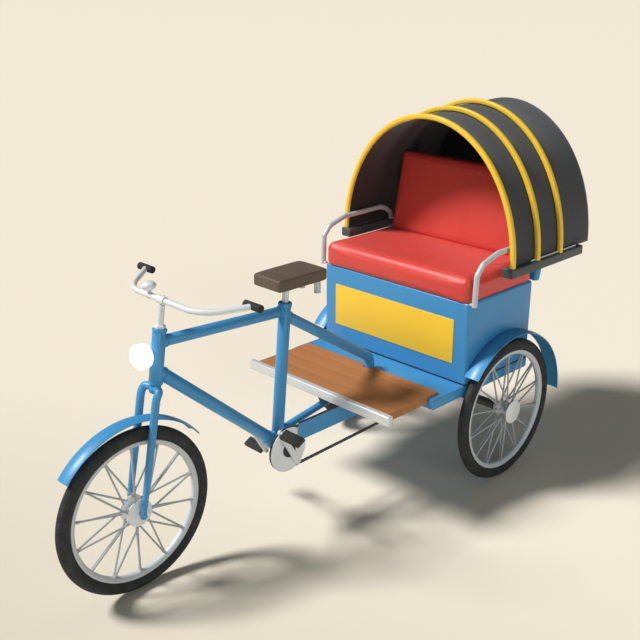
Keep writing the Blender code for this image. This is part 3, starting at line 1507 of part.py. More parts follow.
front_wheel()
rear_axle()
rear_wheel("left", 1, REAR_AXLE_RADIUS + SEAT_GAP, DRIVE)
rear_wheel("right", -1, REAR_AXLE_RADIUS + RUNNING_GAP, REAR_RIGHT)
main_frame()
fork()
front_mudguard()
handlebar()
bell()
headlamp()
crank()
chain()
chain_guard()
saddle()
chassis()
footboard()
seat_box()
cushions()
back_panel()
for side_name, side_sign in (("left", 1), ("right", -1)):
    pedal(side_name, side_sign)
    axle_hanger(side_name, side_sign)
    rear_mudguard(side_name, side_sign)
    armrest(side_name, side_sign)
    hood_rail(side_name, side_sign)
    hood_rod(side_name, side_sign)
for hoop_number, hoop_place in enumerate(HOOP_STATIONS, 1):
    hoop(hoop_number, hoop_place)
hood_canopy()
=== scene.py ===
# A cycle rickshaw in blue enamel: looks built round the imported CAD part.
# Metres, X to the rider's left, Y to the rear, Z up.
import math

import bmesh
import bpy
import numpy as np
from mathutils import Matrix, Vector


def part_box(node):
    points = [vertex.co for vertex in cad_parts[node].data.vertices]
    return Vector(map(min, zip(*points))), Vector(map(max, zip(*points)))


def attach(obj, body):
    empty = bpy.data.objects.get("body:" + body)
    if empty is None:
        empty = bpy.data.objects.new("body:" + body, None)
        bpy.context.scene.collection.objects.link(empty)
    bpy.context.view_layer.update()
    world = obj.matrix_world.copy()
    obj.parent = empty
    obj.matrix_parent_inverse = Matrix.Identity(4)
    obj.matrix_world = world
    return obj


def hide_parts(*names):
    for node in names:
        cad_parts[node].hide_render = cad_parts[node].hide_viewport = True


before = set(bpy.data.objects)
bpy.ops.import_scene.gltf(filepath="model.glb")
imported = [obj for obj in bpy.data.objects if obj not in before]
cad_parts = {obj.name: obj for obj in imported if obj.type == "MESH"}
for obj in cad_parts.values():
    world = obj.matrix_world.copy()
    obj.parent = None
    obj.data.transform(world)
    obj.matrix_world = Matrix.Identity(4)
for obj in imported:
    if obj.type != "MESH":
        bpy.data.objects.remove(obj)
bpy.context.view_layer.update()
print("frame loaded:", len(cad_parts), "CAD nodes")

# places that several pieces share; Y is counted from the rear axle, as in the CAD source
axleLow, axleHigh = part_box("rear_axle")
axleY = (axleLow[1] + axleHigh[1]) / 2


def row(y):
    return y + axleY


layout = {
    "frontHub": (row(-1.813), 0.355),
    "rearHub": (axleY, 0.355),
    "rearWheelX": 0.4835,
    "wheelRadius": 0.355,
    "headBottom": (row(-1.682), 0.862),
    "headTop": (row(-1.646), 1.085),
    "bracket": (row(-1.080), 0.390),
    "seatTubeTop": (row(-0.995), 1.030),
    "barHeight": 1.194,
    "barY": row(-1.6284),
    "hoopPlaces": (row(-0.071), row(0.123), row(0.310)),
    "hoodRear": row(0.590),
    "deckTop": 0.5583,
    "seatTop": 1.0753,
    "backLean": math.radians(11.5),
}


# colours are written as the photo's eye sees them, 0 to 255
def tint(red, green, blue, gain=1.0):
    value = np.array([red, green, blue]) / 255
    linear = np.where(value <= 0.04045, value / 12.92, ((value + 0.055) / 1.055) ** 2.4)
    return (*np.clip(linear * gain, 0, 1).tolist(), 1.0)


# Materials


# a number socket: sums and products written on it add Math nodes
class Signal:
    def __init__(self, finish, socket):
        self.finish = finish
        self.socket = socket

    def __add__(self, other):
        return self.finish.math("ADD", self, other)

    def __sub__(self, other):
        return self.finish.math("SUBTRACT", self, other)

    def __rsub__(self, other):
        return self.finish.math("SUBTRACT", other, self)

    def __mul__(self, other):
        return self.finish.math("MULTIPLY", self, other)

    def __truediv__(self, other):
        return self.finish.math("DIVIDE", self, other)

    __radd__ = __add__
    __rmul__ = __mul__


# one material: its shader, and the nodes that feed it
class Finish:
    def __init__(self, name, colour, **constants):
        self.data = bpy.data.materials.new(name)
        self.data.use_nodes = True
        self.tree = self.data.node_tree
        self.tree.nodes.clear()
        self.shader = self.tree.nodes.new("ShaderNodeBsdfPrincipled")
        output = self.tree.nodes.new("ShaderNodeOutputMaterial")
        self.tree.links.new(self.shader.outputs[0], output.inputs["Surface"])
        self.shader.inputs["Base Color"].default_value = colour
        for words, value in constants.items():
            self.shader.inputs[words.replace("_", " ")].default_value = value

    def feed(self, socket, value):
        if isinstance(value, Signal):
            value = value.socket
        if isinstance(value, bpy.types.NodeSocket):
            self.tree.links.new(value, socket)
        else:
            socket.default_value = value

    def node(self, kind, settings=None, **values):
        made = self.tree.nodes.new("ShaderNode" + kind)
        for words, value in (settings or {}).items():
            setattr(made, words, value)
        for words, value in values.items():
            key = int(words[1:]) if words[0] == "i" and words[1:].isdigit() else words.replace("_", " ")
            self.feed(made.inputs[key], value)
        return made

    def math(self, operation, *values):
        made = self.tree.nodes.new("ShaderNodeMath")
        made.operation = operation
        for socket, value in zip(made.inputs, values):
            self.feed(socket, value)
        return Signal(self, made.outputs[0])

    # object coordinates, stretched by a scale for each axis
    def place(self, scale=(1, 1, 1)):
        source = self.node("TexCoord").outputs["Object"]
        return self.node("Mapping", None, Vector=source, Scale=scale).outputs[0]

    def axis(self, letter):
        parts = self.node("SeparateXYZ", None, Vector=self.place())
        return Signal(self, parts.outputs[letter.upper()])

    def noise(self, scale, detail=3.0, rough=0.55, where=None):
        where = where or self.place()
        made = self.node("TexNoise", None, Vector=where, Scale=scale, Detail=detail, Roughness=rough)
        return Signal(self, made.outputs["Fac"])

    def cells(self, scale, feature="F1"):
        made = self.node("TexVoronoi", {"feature": feature}, Vector=self.place(), Scale=scale)
        return Signal(self, made.outputs["Distance"])

    # 0 below the first value, 1 above the second, smooth between
    def between(self, value, low, high):
        smooth = {"interpolation_type": "SMOOTHSTEP"}
        made = self.node("MapRange", smooth, Value=value, From_Min=low, From_Max=high)
        return Signal(self, made.outputs[0])

    def blend(self, share, first, second):
        made = self.tree.nodes.new("ShaderNodeMix")
        made.data_type = "RGBA"
        self.feed(made.inputs[0], share)
        self.feed(made.inputs[6], first)
        self.feed(made.inputs[7], second)
        return made.outputs[2]

    def set(self, **values):
        for words, value in values.items():
            self.feed(self.shader.inputs[words.replace("_", " ")], value)
        return self

    # height in metres times a strength, one bump after another
    def bump(self, height, distance, strength=1.0):
        made = self.node("Bump", None, Height=height, Distance=distance, Strength=strength)
        old = self.shader.inputs["Normal"]
        if old.is_linked:
            self.tree.links.new(old.links[0].from_socket, made.inputs["Normal"])
        self.tree.links.new(made.outputs[0], old)
        return self


# gloss enamel: soft mottling, orange peel, rubbed patches and a little road dust low down
def enamel(name, colour, dark, roughness=0.40, coat=0.12, dust=0.0):
    made = Finish(name, colour, Coat_Roughness=0.2, Specular_IOR_Level=0.4)
    cloud = made.between(made.noise(5.0, 4.0), 0.35, 0.68)
    base = made.blend(cloud * 0.30, colour, dark)
    speck = made.between(made.cells(190.0), 0.10, 0.04) * made.between(made.noise(14.0), 0.52, 0.62)
    base = made.blend(speck * 0.20, base, tint(205, 200, 188))
    if dust:
        low = made.between(made.axis("z"), 0.85, 0.30) * made.between(made.noise(9.0, 5.0), 0.30, 0.75)
        base = made.blend(low * dust, base, tint(188, 172, 146))
    rubbed = made.noise(38.0, 4.0, where=made.place((1, 3, 1)))
    made.set(Base_Color=base, Roughness=roughness + (rubbed - 0.5) * 0.12)
    made.set(Coat_Weight=coat * (0.6 + cloud * 0.4))
    return made.bump(made.noise(420.0, 2.0), 0.0006, 0.10).data


# satin metal: faintly brushed along one way, with soft clouds and a few dull specks
def bright(name, colour, roughness=0.45, metallic=0.06, stretch=(1, 1, 1), scale=160.0):
    made = Finish(name, colour, Specular_IOR_Level=0.5, Metallic=metallic)
    brushed = made.noise(scale, 3.0, where=made.place(stretch))
    cloud = made.between(made.noise(9.0, 4.0), 0.35, 0.70)
    base = made.blend(cloud * 0.10, colour, tint(168, 170, 172))
    pit = made.between(made.cells(230.0), 0.11, 0.05) * made.between(made.noise(22.0), 0.58, 0.66)
    base = made.blend(pit * 0.25, base, tint(140, 126, 108))
    made.set(Base_Color=base, Roughness=roughness + (brushed - 0.5) * 0.14 + pit * 0.2)
    return made.bump(brushed, 0.0003, 0.08).data


# dull rubber: fine pores and grey dust
def rubber(name, colour, dustColour=(120, 112, 100), dust=0.25, roughness=0.72):
    made = Finish(name, colour, Specular_IOR_Level=0.35)
    dusty = made.between(made.noise(24.0, 5.0), 0.42, 0.78)
    base = made.blend(dusty * dust, colour, tint(*dustColour))
    made.set(Base_Color=base, Roughness=roughness + dusty * 0.16)
    return made.bump(made.noise(700.0, 2.0), 0.0008, 0.25)


# coated cloth: two crossed threads, light fading and fine creases
def clothFinish(name, colour, faded, thread=620.0, depth=0.5):
    made = Finish(name, colour, Sheen_Weight=0.25, Sheen_Roughness=0.5, Specular_IOR_Level=0.25)
    uv = made.node("UVMap").outputs[0]
    parts = made.node("SeparateXYZ", None, Vector=uv)
    along, across = Signal(made, parts.outputs["X"]), Signal(made, parts.outputs["Y"])
    weft = made.math("SINE", along * thread)
    warp = made.math("SINE", across * thread)
    weave = weft * warp * 0.5 + 0.5
    worn = made.between(made.noise(4.0, 5.0), 0.30, 0.75)
    streak = made.noise(7.0, 4.0, where=made.place((0.25, 1, 0.25)))
    base = made.blend(worn * 0.45, colour, faded)
    base = made.blend(weave * 0.14, base, (0.01, 0.01, 0.012, 1.0))
    made.set(Base_Color=base, Roughness=0.74 + (streak - 0.5) * 0.18)
    made.bump(streak, 0.004, 0.25)
    return made.bump(weave, 0.0005, depth).data


# vinyl: pebbled grain, soft creases and rubbed high places
def vinyl(name, colour, deep, grain=330.0, roughness=0.46):
    made = Finish(name, colour, Coat_Roughness=0.35, Specular_IOR_Level=0.45, Sheen_Weight=0.06)
    pebble = made.cells(grain, "SMOOTH_F1")
    cloud = made.between(made.noise(6.0, 4.0), 0.32, 0.72)
    crease = made.noise(26.0, 5.0, 0.62)
    base = made.blend(cloud * 0.40, colour, deep)
    base = made.blend(made.between(pebble, 0.45, 0.70) * 0.18, base, deep)
    made.set(Base_Color=base, Roughness=roughness + (crease - 0.5) * 0.20, Coat_Weight=0.10 + cloud * 0.08)
    made.bump(crease, 0.0016, 0.20)
    return made.bump(pebble, 0.0007, 0.30)


# boards: grain lines stretched along each plank, with softly darker fibres
def plankWood(name, plank, start):
    colours = (tint(175, 117, 70), tint(169, 110, 65), tint(150, 94, 56))
    made = Finish(name, colours[0], Specular_IOR_Level=0.3)
    number = made.math("FLOOR", (made.axis("y") - start) / plank)
    shifted = made.node("CombineXYZ", None, X=number * 3.7, Y=number * 1.3, Z=number * 0.9).outputs[0]
    stretched = made.place((1.0, 9.0, 9.0))
    where = made.node("VectorMath", {"operation": "ADD"}, i0=stretched, i1=shifted).outputs[0]
    wave = made.node(
        "TexWave",
        {"wave_type": "BANDS", "bands_direction": "Y"},
        Vector=where,
        Scale=2.6,
        Distortion=5.5,
        Detail=3.0,
        Detail_Scale=1.3,
    )
    rings = Signal(made, wave.outputs["Fac"])
    fibre = made.noise(46.0, 4.0, where=made.place((0.35, 9.0, 9.0)))
    base = made.blend(made.between(rings, 0.25, 0.85) * 0.20, colours[0], colours[1])
    base = made.blend(made.between(fibre, 0.50, 0.74) * 0.22, base, colours[2])
    made.set(Base_Color=base, Roughness=0.60 + fibre * 0.14)
    return made.bump(fibre, 0.0006, 0.18).data


# milk glass that glows: flutes across it and a faint uneven ring; on the lens it is the lamp, on the shell
# the same glow is a painted glow
def glowFinish(name, strength):
    made = Finish(name, tint(255, 255, 248), Specular_IOR_Level=0.5, Emission_Strength=strength)
    flute = made.math("SINE", made.axis("x") * 900.0)
    ring = made.noise(60.0, 2.0)
    glow = made.blend(ring * 0.12, tint(255, 255, 250), tint(255, 250, 226))
    made.set(Emission_Color=glow, Base_Color=glow, Roughness=0.10 + ring * 0.08)
    return made.bump(flute, 0.0008, 0.3).data


print("materials")
blue = enamel("blueEnamel", tint(68, 148, 200), tint(62, 139, 191), dust=0.012)
blueBox = enamel("bluePanels", tint(66, 145, 199), tint(60, 136, 190), dust=0.012)
yellow = enamel("yellowEnamel", tint(251, 204, 60), tint(247, 196, 50), roughness=0.45)
hoopYellow = enamel("yellowHoops", tint(250, 205, 60), tint(244, 194, 48), roughness=0.42)
darkRail = enamel("darkRails", tint(74, 78, 80), tint(64, 68, 70), roughness=0.48, coat=0.05)
underDark = enamel("axleIron", tint(58, 60, 62), tint(44, 45, 46), roughness=0.5, coat=0.05, dust=0.15)
silver = bright("satinTube", tint(226, 230, 231))
silverPlain = bright("satinSteel", tint(200, 203, 204), roughness=0.5, metallic=0.15)
rimSilver = bright("wheelRim", tint(206, 210, 212), roughness=0.46)
spokeSilver = bright("spokeWire", tint(174, 177, 180), roughness=0.42, metallic=0.1, scale=60.0)
discSilver = bright("discSteel", tint(238, 240, 241), roughness=0.48)
armSilver = bright("crankSteel", tint(230, 232, 232), roughness=0.42)
barFinish = {"roughness": 0.34, "metallic": 0.3, "stretch": (0.05, 1, 1), "scale": 300.0}
barSilver = bright("boardEdge", tint(220, 222, 222), **barFinish)
screwBrass = bright("screwBrass", tint(160, 116, 78), roughness=0.5)
chainDark = bright("chainSteel", tint(84, 84, 84), roughness=0.48, metallic=0.4)
capDark = enamel("darkCaps", tint(44, 45, 48), tint(38, 39, 42), roughness=0.48, coat=0.05)
gripDark = rubber("gripRubber", tint(44, 45, 44), dust=0.10).data
redVinyl = vinyl("redVinyl", tint(218, 70, 60), tint(205, 58, 50)).data
saddleBrown = vinyl("saddleHide", tint(98, 81, 67), tint(85, 67, 55), grain=420.0, roughness=0.58).data
hoodBlack = clothFinish("hoodOutside", tint(62, 64, 68), tint(74, 76, 79))
hoodLining = clothFinish("hoodLining", tint(44, 33, 31), tint(52, 40, 37))


# tyre rubber: blocks round the tread, lines on the wall, worked out from the angle round the hub
def tyreFinish(name, hubX, hubY, hubZ):
    made = rubber(name, tint(44, 46, 48), dust=0.22)
    y = made.axis("y") - hubY
    z = made.axis("z") - hubZ
    across = made.math("ABSOLUTE", made.axis("x") - hubX)
    around = made.math("ARCTAN2", z, y)
    reach = made.math("SQRT", y * y + z * z)
    blocks = made.math("SINE", around * 132.0 + across * 260.0)
    crown = made.between(across, 0.0185, 0.0150)
    tread = made.between(blocks, -0.35, 0.05) * crown
    groove = made.between(made.math("ABSOLUTE", across - 0.0062), 0.0008, 0.0018)
    ring = made.math("SINE", reach * 2600.0) * made.between(across, 0.016, 0.020)
    made.bump(tread * groove, 0.0022, 0.8)
    return made.bump(ring, 0.0004, 0.5).data


# Shapes


# points, faces and flat places of one piece, gathered from grids
class Form:
    def __init__(self):
        self.points = []
        self.faces = []
        self.flats = []
        self.count = 0

    # quads between neighbours of a rows x columns grid; flat holds each corner's place on the cloth
    def grid(self, points, closeRows=False, closeColumns=False, capStart=False, capEnd=False):
        points = np.asarray(points, float)
        rows, columns = points.shape[:2]
        i = np.arange(rows if closeRows else rows - 1)
        j = np.arange(columns if closeColumns else columns - 1)
        a, b = (part.ravel() for part in np.meshgrid(i, j, indexing="ij"))
        corners = [(a, b), (a + 1, b), (a + 1, b + 1), (a, b + 1)]
        quads = np.stack([(r % rows) * columns + c % columns for r, c in corners], -1) + self.count
        rowGap = np.linalg.norm(points - np.roll(points, -1, 0), axis=-1).mean(1)
        columnGap = np.linalg.norm(points - np.roll(points, -1, 1), axis=-1).mean(0)
        rowPlace = np.concatenate([[0], np.cumsum(rowGap)])
        columnPlace = np.concatenate([[0], np.cumsum(columnGap)])
        flats = np.stack([np.stack([rowPlace[r], columnPlace[c]], -1) for r, c in corners], 1)
        self.faces += quads.tolist()
        self.flats += flats.reshape(-1, 2).tolist()
        ring = np.arange(columns)
        for wanted, cap in ((capStart, ring[::-1]), (capEnd, ring + (rows - 1) * columns)):
            if wanted:
                self.faces.append((cap + self.count).tolist())
                self.flats += [[0.0, 0.0]] * columns
        self.points.append(points.reshape(-1, 3))
        self.count += rows * columns
        return self


def mirrored(points):
    return np.asarray(points) * np.array([-1, 1, 1])


# makes the mesh, closes seams and poles, turns faces outwards, and hangs it on a CAD body
def piece(name, form, material, body, replaces=(), sharp=35, bevel=0.0, weld=1e-6):
    mesh = bpy.data.meshes.new(name)
    mesh.from_pydata(np.concatenate(form.points).tolist(), [], form.faces)
    layer = mesh.uv_layers.new(name="UVMap")
    layer.data.foreach_set("uv", np.array(form.flats, np.float32).ravel())
    work = bmesh.new()
    work.from_mesh(mesh)
    bmesh.ops.remove_doubles(work, verts=work.verts, dist=weld)
    bmesh.ops.recalc_face_normals(work, faces=work.faces)
    work.to_mesh(mesh)
    work.free()
    mesh.shade_smooth()
    mesh.set_sharp_from_angle(angle=math.radians(sharp))
    made = bpy.data.objects.new(name, mesh)
    bpy.context.scene.collection.objects.link(made)
    for one in material if isinstance(material, (list, tuple)) else [material]:
        mesh.materials.append(one)
    if bevel:
        edge = made.modifiers.new("edges", "BEVEL")
        edge.width = bevel
        edge.segments = 3
        edge.limit_method = "ANGLE"
        edge.angle_limit = math.radians(30)
        edge.harden_normals = True
    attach(made, body)
    if replaces:
        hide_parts(*replaces)
    return made


def unit(vectors):
    return vectors / np.maximum(np.linalg.norm(vectors, axis=-1, keepdims=True), 1e-12)


# a section carried along a path: place + r cos(a) side + r sin(a) up, with side and up square to
# the path; a power under 1 flattens the section towards a square
def sweep(path, radius, across, sides, power=1.0):
    path = np.asarray(path, float)
    along = unit(np.gradient(path, axis=0))
    side = unit(np.cross(along, np.asarray(across, float)))
    up = np.cross(side, along)
    angle = np.linspace(0, 2 * np.pi, sides, endpoint=False)
    cos, sin = np.cos(angle), np.sin(angle)
    cos = np.sign(cos) * np.abs(cos) ** power
    sin = np.sign(sin) * np.abs(sin) ** power
    size = np.broadcast_to(np.asarray(radius, float), (len(path),))[:, None, None]
    return path[:, None] + size * (cos[:, None] * side[:, None] + sin[:, None] * up[:, None])


# a path whose corners are rounded: each becomes a parabola between points set back along its sides
def rounded(corners, reach, steps=8):
    corners = [np.asarray(corner, float) for corner in corners]
    share = np.linspace(0, 1, steps + 1)[:, None]
    parts = [corners[0][None]]
    for before, corner, after in zip(corners, corners[1:], corners[2:]):
        back, on = before - corner, after - corner
        cut = min(reach, np.linalg.norm(back) / 2, np.linalg.norm(on) / 2)
        first = corner + back / np.linalg.norm(back) * cut
        last = corner + on / np.linalg.norm(on) * cut
        parts.append(first * (1 - share) ** 2 + corner * 2 * share * (1 - share) + last * share**2)
    parts.append(corners[-1][None])
    path = np.concatenate(parts)
    keep = np.concatenate([[True], np.linalg.norm(np.diff(path, axis=0), axis=1) > 1e-6])
    return path[keep]


def straight(start, end, steps=2):
    share = np.linspace(0, 1, steps)[:, None]
    return np.asarray(start, float) * (1 - share) + np.asarray(end, float) * share


# a profile of (along, radius) pairs turned round an axis through centre
def lathe(profile, centre, axis="x", steps=72):
    profile = np.asarray(profile, float)
    angle = np.linspace(0, 2 * np.pi, steps, endpoint=False)[:, None]
    along = np.broadcast_to(profile[:, 0], (steps, len(profile)))
    first = profile[:, 1] * np.cos(angle)
    second = profile[:, 1] * np.sin(angle)
    order = {"x": (along, first, second), "y": (first, along, second), "z": (first, second, along)}[axis]
    return np.stack(order, -1) + np.asarray(centre, float)


# each corner is an eighth of a ball, each flat joins four of them: corner + r * direction
def roundBox(low, high, radius, steps=5):
    low, high = np.asarray(low, float), np.asarray(high, float)
    middle, half = (low + high) / 2, (high - low) / 2
    radius = min(radius, *(half * 0.999))
    quarter = np.linspace(0, np.pi / 2, steps + 1)
    turn = np.concatenate([quarter + np.pi / 2 * k for k in range(4)])
    signX = np.repeat([1, -1, -1, 1], steps + 1)
    signY = np.repeat([1, 1, -1, -1], steps + 1)
    rise = np.concatenate([quarter - np.pi / 2, quarter])
    signZ = np.repeat([-1, 1], steps + 1)
    normal = np.stack(
        [
            np.cos(rise)[:, None] * np.cos(turn),
            np.cos(rise)[:, None] * np.sin(turn),
            np.broadcast_to(np.sin(rise)[:, None], (len(rise), len(turn))),
        ],
        -1,
    )
    sign = np.stack(np.broadcast_arrays(signX[None], signY[None], signZ[:, None]), -1)
    return middle + sign * (half - radius) + radius * normal


# points turned in the side view about a (Y, Z) point: positive turns lift what lies behind it
def turned(points, about, angle):
    cos, sin = math.cos(angle), math.sin(angle)
    y, z = points[..., 1] - about[0], points[..., 2] - about[1]
    return np.stack([points[..., 0], about[0] + y * cos - z * sin, about[1] + y * sin + z * cos], -1)


def addBox(form, low, high, radius, steps=5, about=None, angle=0.0):
    points = roundBox(low, high, radius, steps)
    if about is not None:
        points = turned(points, about, angle)
    return form.grid(points, closeColumns=True, capStart=True, capEnd=True)


# a closed sweep of two or more rings
def addRod(form, path, radius, across=(1, 0, 0.01), sides=24, **shape):
    points = sweep(path, radius, across, sides, **shape)
    return form.grid(points, closeColumns=True, capStart=True, capEnd=True)


# a profile turned round an axis; open profiles start and end on it, closed ones are rings
def addTurned(form, profile, centre, axis="x", steps=72, closed=False, along=None):
    points = lathe(profile, (0, 0, 0), axis, steps)
    if along is not None:
        points = points @ np.array([[1, 0, 0], [0, along[2], -along[1]], [0, along[1], along[2]]])
    return form.grid(points + np.asarray(centre, float), closeRows=True, closeColumns=closed)


# small domed heads: a half ellipse turned round the way the face looks
def addDome(form, place, direction, radius, height, steps=16):
    angle = np.linspace(0, np.pi / 2, 6)
    profile = np.stack([height * np.sin(angle), radius * np.cos(angle)], -1)
    profile = np.concatenate([[[-0.001, radius]], profile])
    axis = np.asarray(direction, float)
    other = np.array([0, 0, 1.0]) if abs(axis[2]) < 0.9 else np.array([1.0, 0, 0])
    side = unit(np.cross(axis, other))
    up = np.cross(side, axis)
    turn = np.linspace(0, 2 * np.pi, steps, endpoint=False)[:, None, None]
    ring = profile[:, 1, None] * (np.cos(turn) * side + np.sin(turn) * up)
    points = np.asarray(place, float) + ring + profile[:, 0, None] * axis
    return form.grid(points.transpose(1, 0, 2), closeColumns=True, capStart=True)


def inPlane(point, x=0.0):
    return np.array([x, point[0], point[1]])


def onLine(start, end, share):
    return np.asarray(start) * (1 - share) + np.asarray(end) * share


def paint(names, material):
    for name in names:
        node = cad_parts[name]
        node.data.materials.clear()
        node.data.materials.append(material)


# Wheels

print("wheels")
wheelSizes = {
    "tyreHalfWidth": 0.0245,
    "tyreHalfHeight": 0.029,
    "seatAngle": math.radians(150),
    "rimDepth": 0.022,
    "rimHalfWidth": 0.0165,
    "spokeRadius": 0.0042,
    "spokePairs": 14,
    "spokeBed": 0.0034,
    "nippleLength": 0.014,
    "nippleWide": 1.3,
    "valveRadius": 0.003,
    "valveLength": 0.012,
    "sweep": math.radians(24),
}


# an ellipse cut flat at the rim, with shallow ribs where the tread is: radius = middle + h cos(a)
def addTyre(form, centre):
    s = wheelSizes
    middle = layout["wheelRadius"] - s["tyreHalfHeight"]
    angle = np.linspace(s["seatAngle"], -s["seatAngle"], 49)
    rib = -0.0007 * (0.5 + 0.5 * np.cos(angle * 26)) * (np.abs(angle) < 0.72)
    radius = middle + (s["tyreHalfHeight"] + rib) * np.cos(angle)
    along = (s["tyreHalfWidth"] + rib) * np.sin(angle)
    points = lathe(np.stack([along, radius], -1), centre, steps=144)
    form.grid(points, closeRows=True, closeColumns=True)


# a rolled rim: two beads, a sunk bed between them and a rounded inner crown
def addRim(form, centre):
    s = wheelSizes
    outer = layout["wheelRadius"] - s["tyreHalfHeight"] * (1 + math.cos(math.pi - s["seatAngle"])) - 0.0004
    inner = outer - s["rimDepth"]
    w = s["rimHalfWidth"]
    corners = [
        (0.0, outer - 0.004),
        (w * 0.72, outer - 0.004),
        (w * 0.80, outer),
        (w, outer),
        (w * 1.02, outer - 0.009),
        (w * 0.66, inner + 0.003),
        (w * 0.30, inner),
        (0.0, inner),
    ]
    half = rounded(corners, 0.0022, 4)
    other = half[::-1][1:-1] * np.array([-1, 1])
    form.grid(lathe(np.concatenate([half, other]), centre, steps=144), closeRows=True, closeColumns=True)
    return inner


# straight wires: each pair meets at the rim and runs to the two flanges, every other pair swept back
def addSpokes(form, centre, flangeX, flangeRadius, rimReach):
    s = wheelSizes
    pair = np.arange(s["spokePairs"])
    angle = 2 * np.pi * (pair + 0.5) / s["spokePairs"]
    sweepSign = np.where(pair % 2 == 1, 1, -1)
    for side in (1, -1):
        hub = angle + s["sweep"] * sweepSign * side
        flange = np.full_like(hub, side * flangeX)
        bed = np.full_like(hub, side * s["spokeBed"])
        start = np.stack([flange, flangeRadius * np.cos(hub), flangeRadius * np.sin(hub)], -1)
        end = np.stack([bed, rimReach * np.cos(angle), rimReach * np.sin(angle)], -1)
        for first, last in zip(start + centre, end + centre):
            addRod(form, straight(first, last), s["spokeRadius"], (1, 0, 0), 8)
            tip = unit(last - first)
            nipple = straight(last - tip * s["nippleLength"], last)
            addRod(form, nipple, s["spokeRadius"] * s["nippleWide"], (1, 0, 0), 8)


def addFrontHub(form, centre):
    half = [(0.031, 0.0059), (0.031, 0.018), (0.0300, 0.020), (0.0300, 0.054), (0.028, 0.058)]
    half += [(0.0245, 0.058), (0.023, 0.055), (0.023, 0.030), (0.017, 0.0235), (0.0, 0.0235)]
    full = half + [(-place, radius) for place, radius in half[::-1][1:]]
    addTurned(form, full, centre, closed=True)


# the disc outside, two spoke flanges on the barrel, and an open bearing seat inside
def addRearHub(form, centre, side):
    corners = [(0.055, 0.0), (0.055, 0.026), (0.0535, 0.029), (0.0535, 0.054), (0.0515, 0.058)]
    corners += [(0.048, 0.058)]
    corners += [(0.047, 0.055), (0.047, 0.028), (0.040, 0.0225), (0.029, 0.0225), (0.027, 0.025)]
    corners += [(0.027, 0.0365), (0.0255, 0.038), (0.0215, 0.038), (0.020, 0.0365), (0.020, 0.024)]
    corners += [(0.017, 0.0225), (-0.017, 0.0225), (-0.020, 0.024), (-0.020, 0.0365), (-0.0215, 0.038)]
    corners += [(-0.0255, 0.038), (-0.027, 0.0365), (-0.027, 0.0225), (-0.048, 0.0225), (-0.048, 0.0138)]
    corners += [(-0.046, 0.0138), (-0.046, 0.0)]
    addTurned(form, np.array(corners) * np.array([side, 1]), centre)


def wheel(tag, x, y, body, nodes):
    centre = np.array([x, y, layout["wheelRadius"]])
    tyre = Form()
    addTyre(tyre, centre)
    name = tag + "Tyre"
    piece(name, tyre, tyreFinish(name, x, y, layout["wheelRadius"]), body, [nodes[1]])
    rim = Form()
    inner = addRim(rim, centre)
    valve = centre + np.array([0, 0, inner - 0.001])
    addDome(rim, valve, (0, 0, -1), wheelSizes["valveRadius"], wheelSizes["valveLength"])
    piece(tag + "Rim", rim, rimSilver, body, [nodes[0]])
    wires = Form()
    hub = Form()
    if x == 0:
        addSpokes(wires, centre, 0.026, 0.0475, inner + 0.002)
        addFrontHub(hub, centre)
    else:
        addSpokes(wires, centre, 0.0235, 0.0312, inner + 0.002)
        addRearHub(hub, centre, 1 if x > 0 else -1)
    piece(tag + "Spokes", wires, spokeSilver, body, ())
    piece(tag + "Hub", hub, discSilver, body, ())


wheel("front", 0.0, layout["frontHub"][0], "front_wheel", ("front_wheel", "front_tyre"))
rearX = layout["rearWheelX"]
wheel("rearLeft", rearX, axleY, "rear_drive", ("rear_wheel_left", "rear_tyre_left"))
wheel("rearRight", -rearX, axleY, "rear_right_wheel", ("rear_wheel_right", "rear_tyre_right"))


# Cycle frame

print("cycle frame")
frameSizes = {
    "headRadius": 0.0275,
    "topRadius": 0.0235,
    "downRadius": 0.027,
    "seatRadius": 0.027,
    "backRadius": 0.024,
    "stayRadius": 0.017,
    "shellRadius": 0.031,
    "shellHalf": 0.036,
    "kneeReach": 0.036,
    "topFrontShare": 0.753,
    "topRearShare": 0.941,
    "downShare": 0.25,
    "backShare": 0.911,
    "seatFoot": (row(-1.054), 0.39775),
    "downFoot": (row(-1.08772), 0.40687),
    "backKnee": (row(-0.451), 0.617),
    "stayFoot": (row(-1.080), 0.427),
    "stayEnd": (row(-0.5213), 0.514),
}


# a tube with a rounded rim at both ends
def addTube(form, start, end, radius, sides=40, lip=0.002):
    start, end = np.asarray(start, float), np.asarray(end, float)
    along = unit(end - start)
    path = np.stack([start, start + along * lip, end - along * lip, end])
    return addRod(form, path, [radius - lip, radius, radius, radius - lip], sides=sides)


# a bead of weld: a small ring laid round a tube, a little uneven
def addBead(form, place, direction, radius, size=0.0032):
    angle = np.linspace(0, 2 * np.pi, 64, endpoint=False)
    direction = unit(np.asarray(direction, float))
    side = unit(np.cross(direction, np.array([1.0, 0, 0.01])))
    up = np.cross(side, direction)
    wave = size * (1 + 0.12 * np.cos(angle * 21))[:, None, None]
    out = np.cos(angle)[:, None] * side + np.sin(angle)[:, None] * up
    small = np.linspace(0, 2 * np.pi, 8, endpoint=False)[None, :, None]
    ring = wave * (np.cos(small) * out[:, None] + np.sin(small) * direction)
    points = np.asarray(place, float) + out[:, None] * radius + ring
    return form.grid(points, closeRows=True, closeColumns=True)


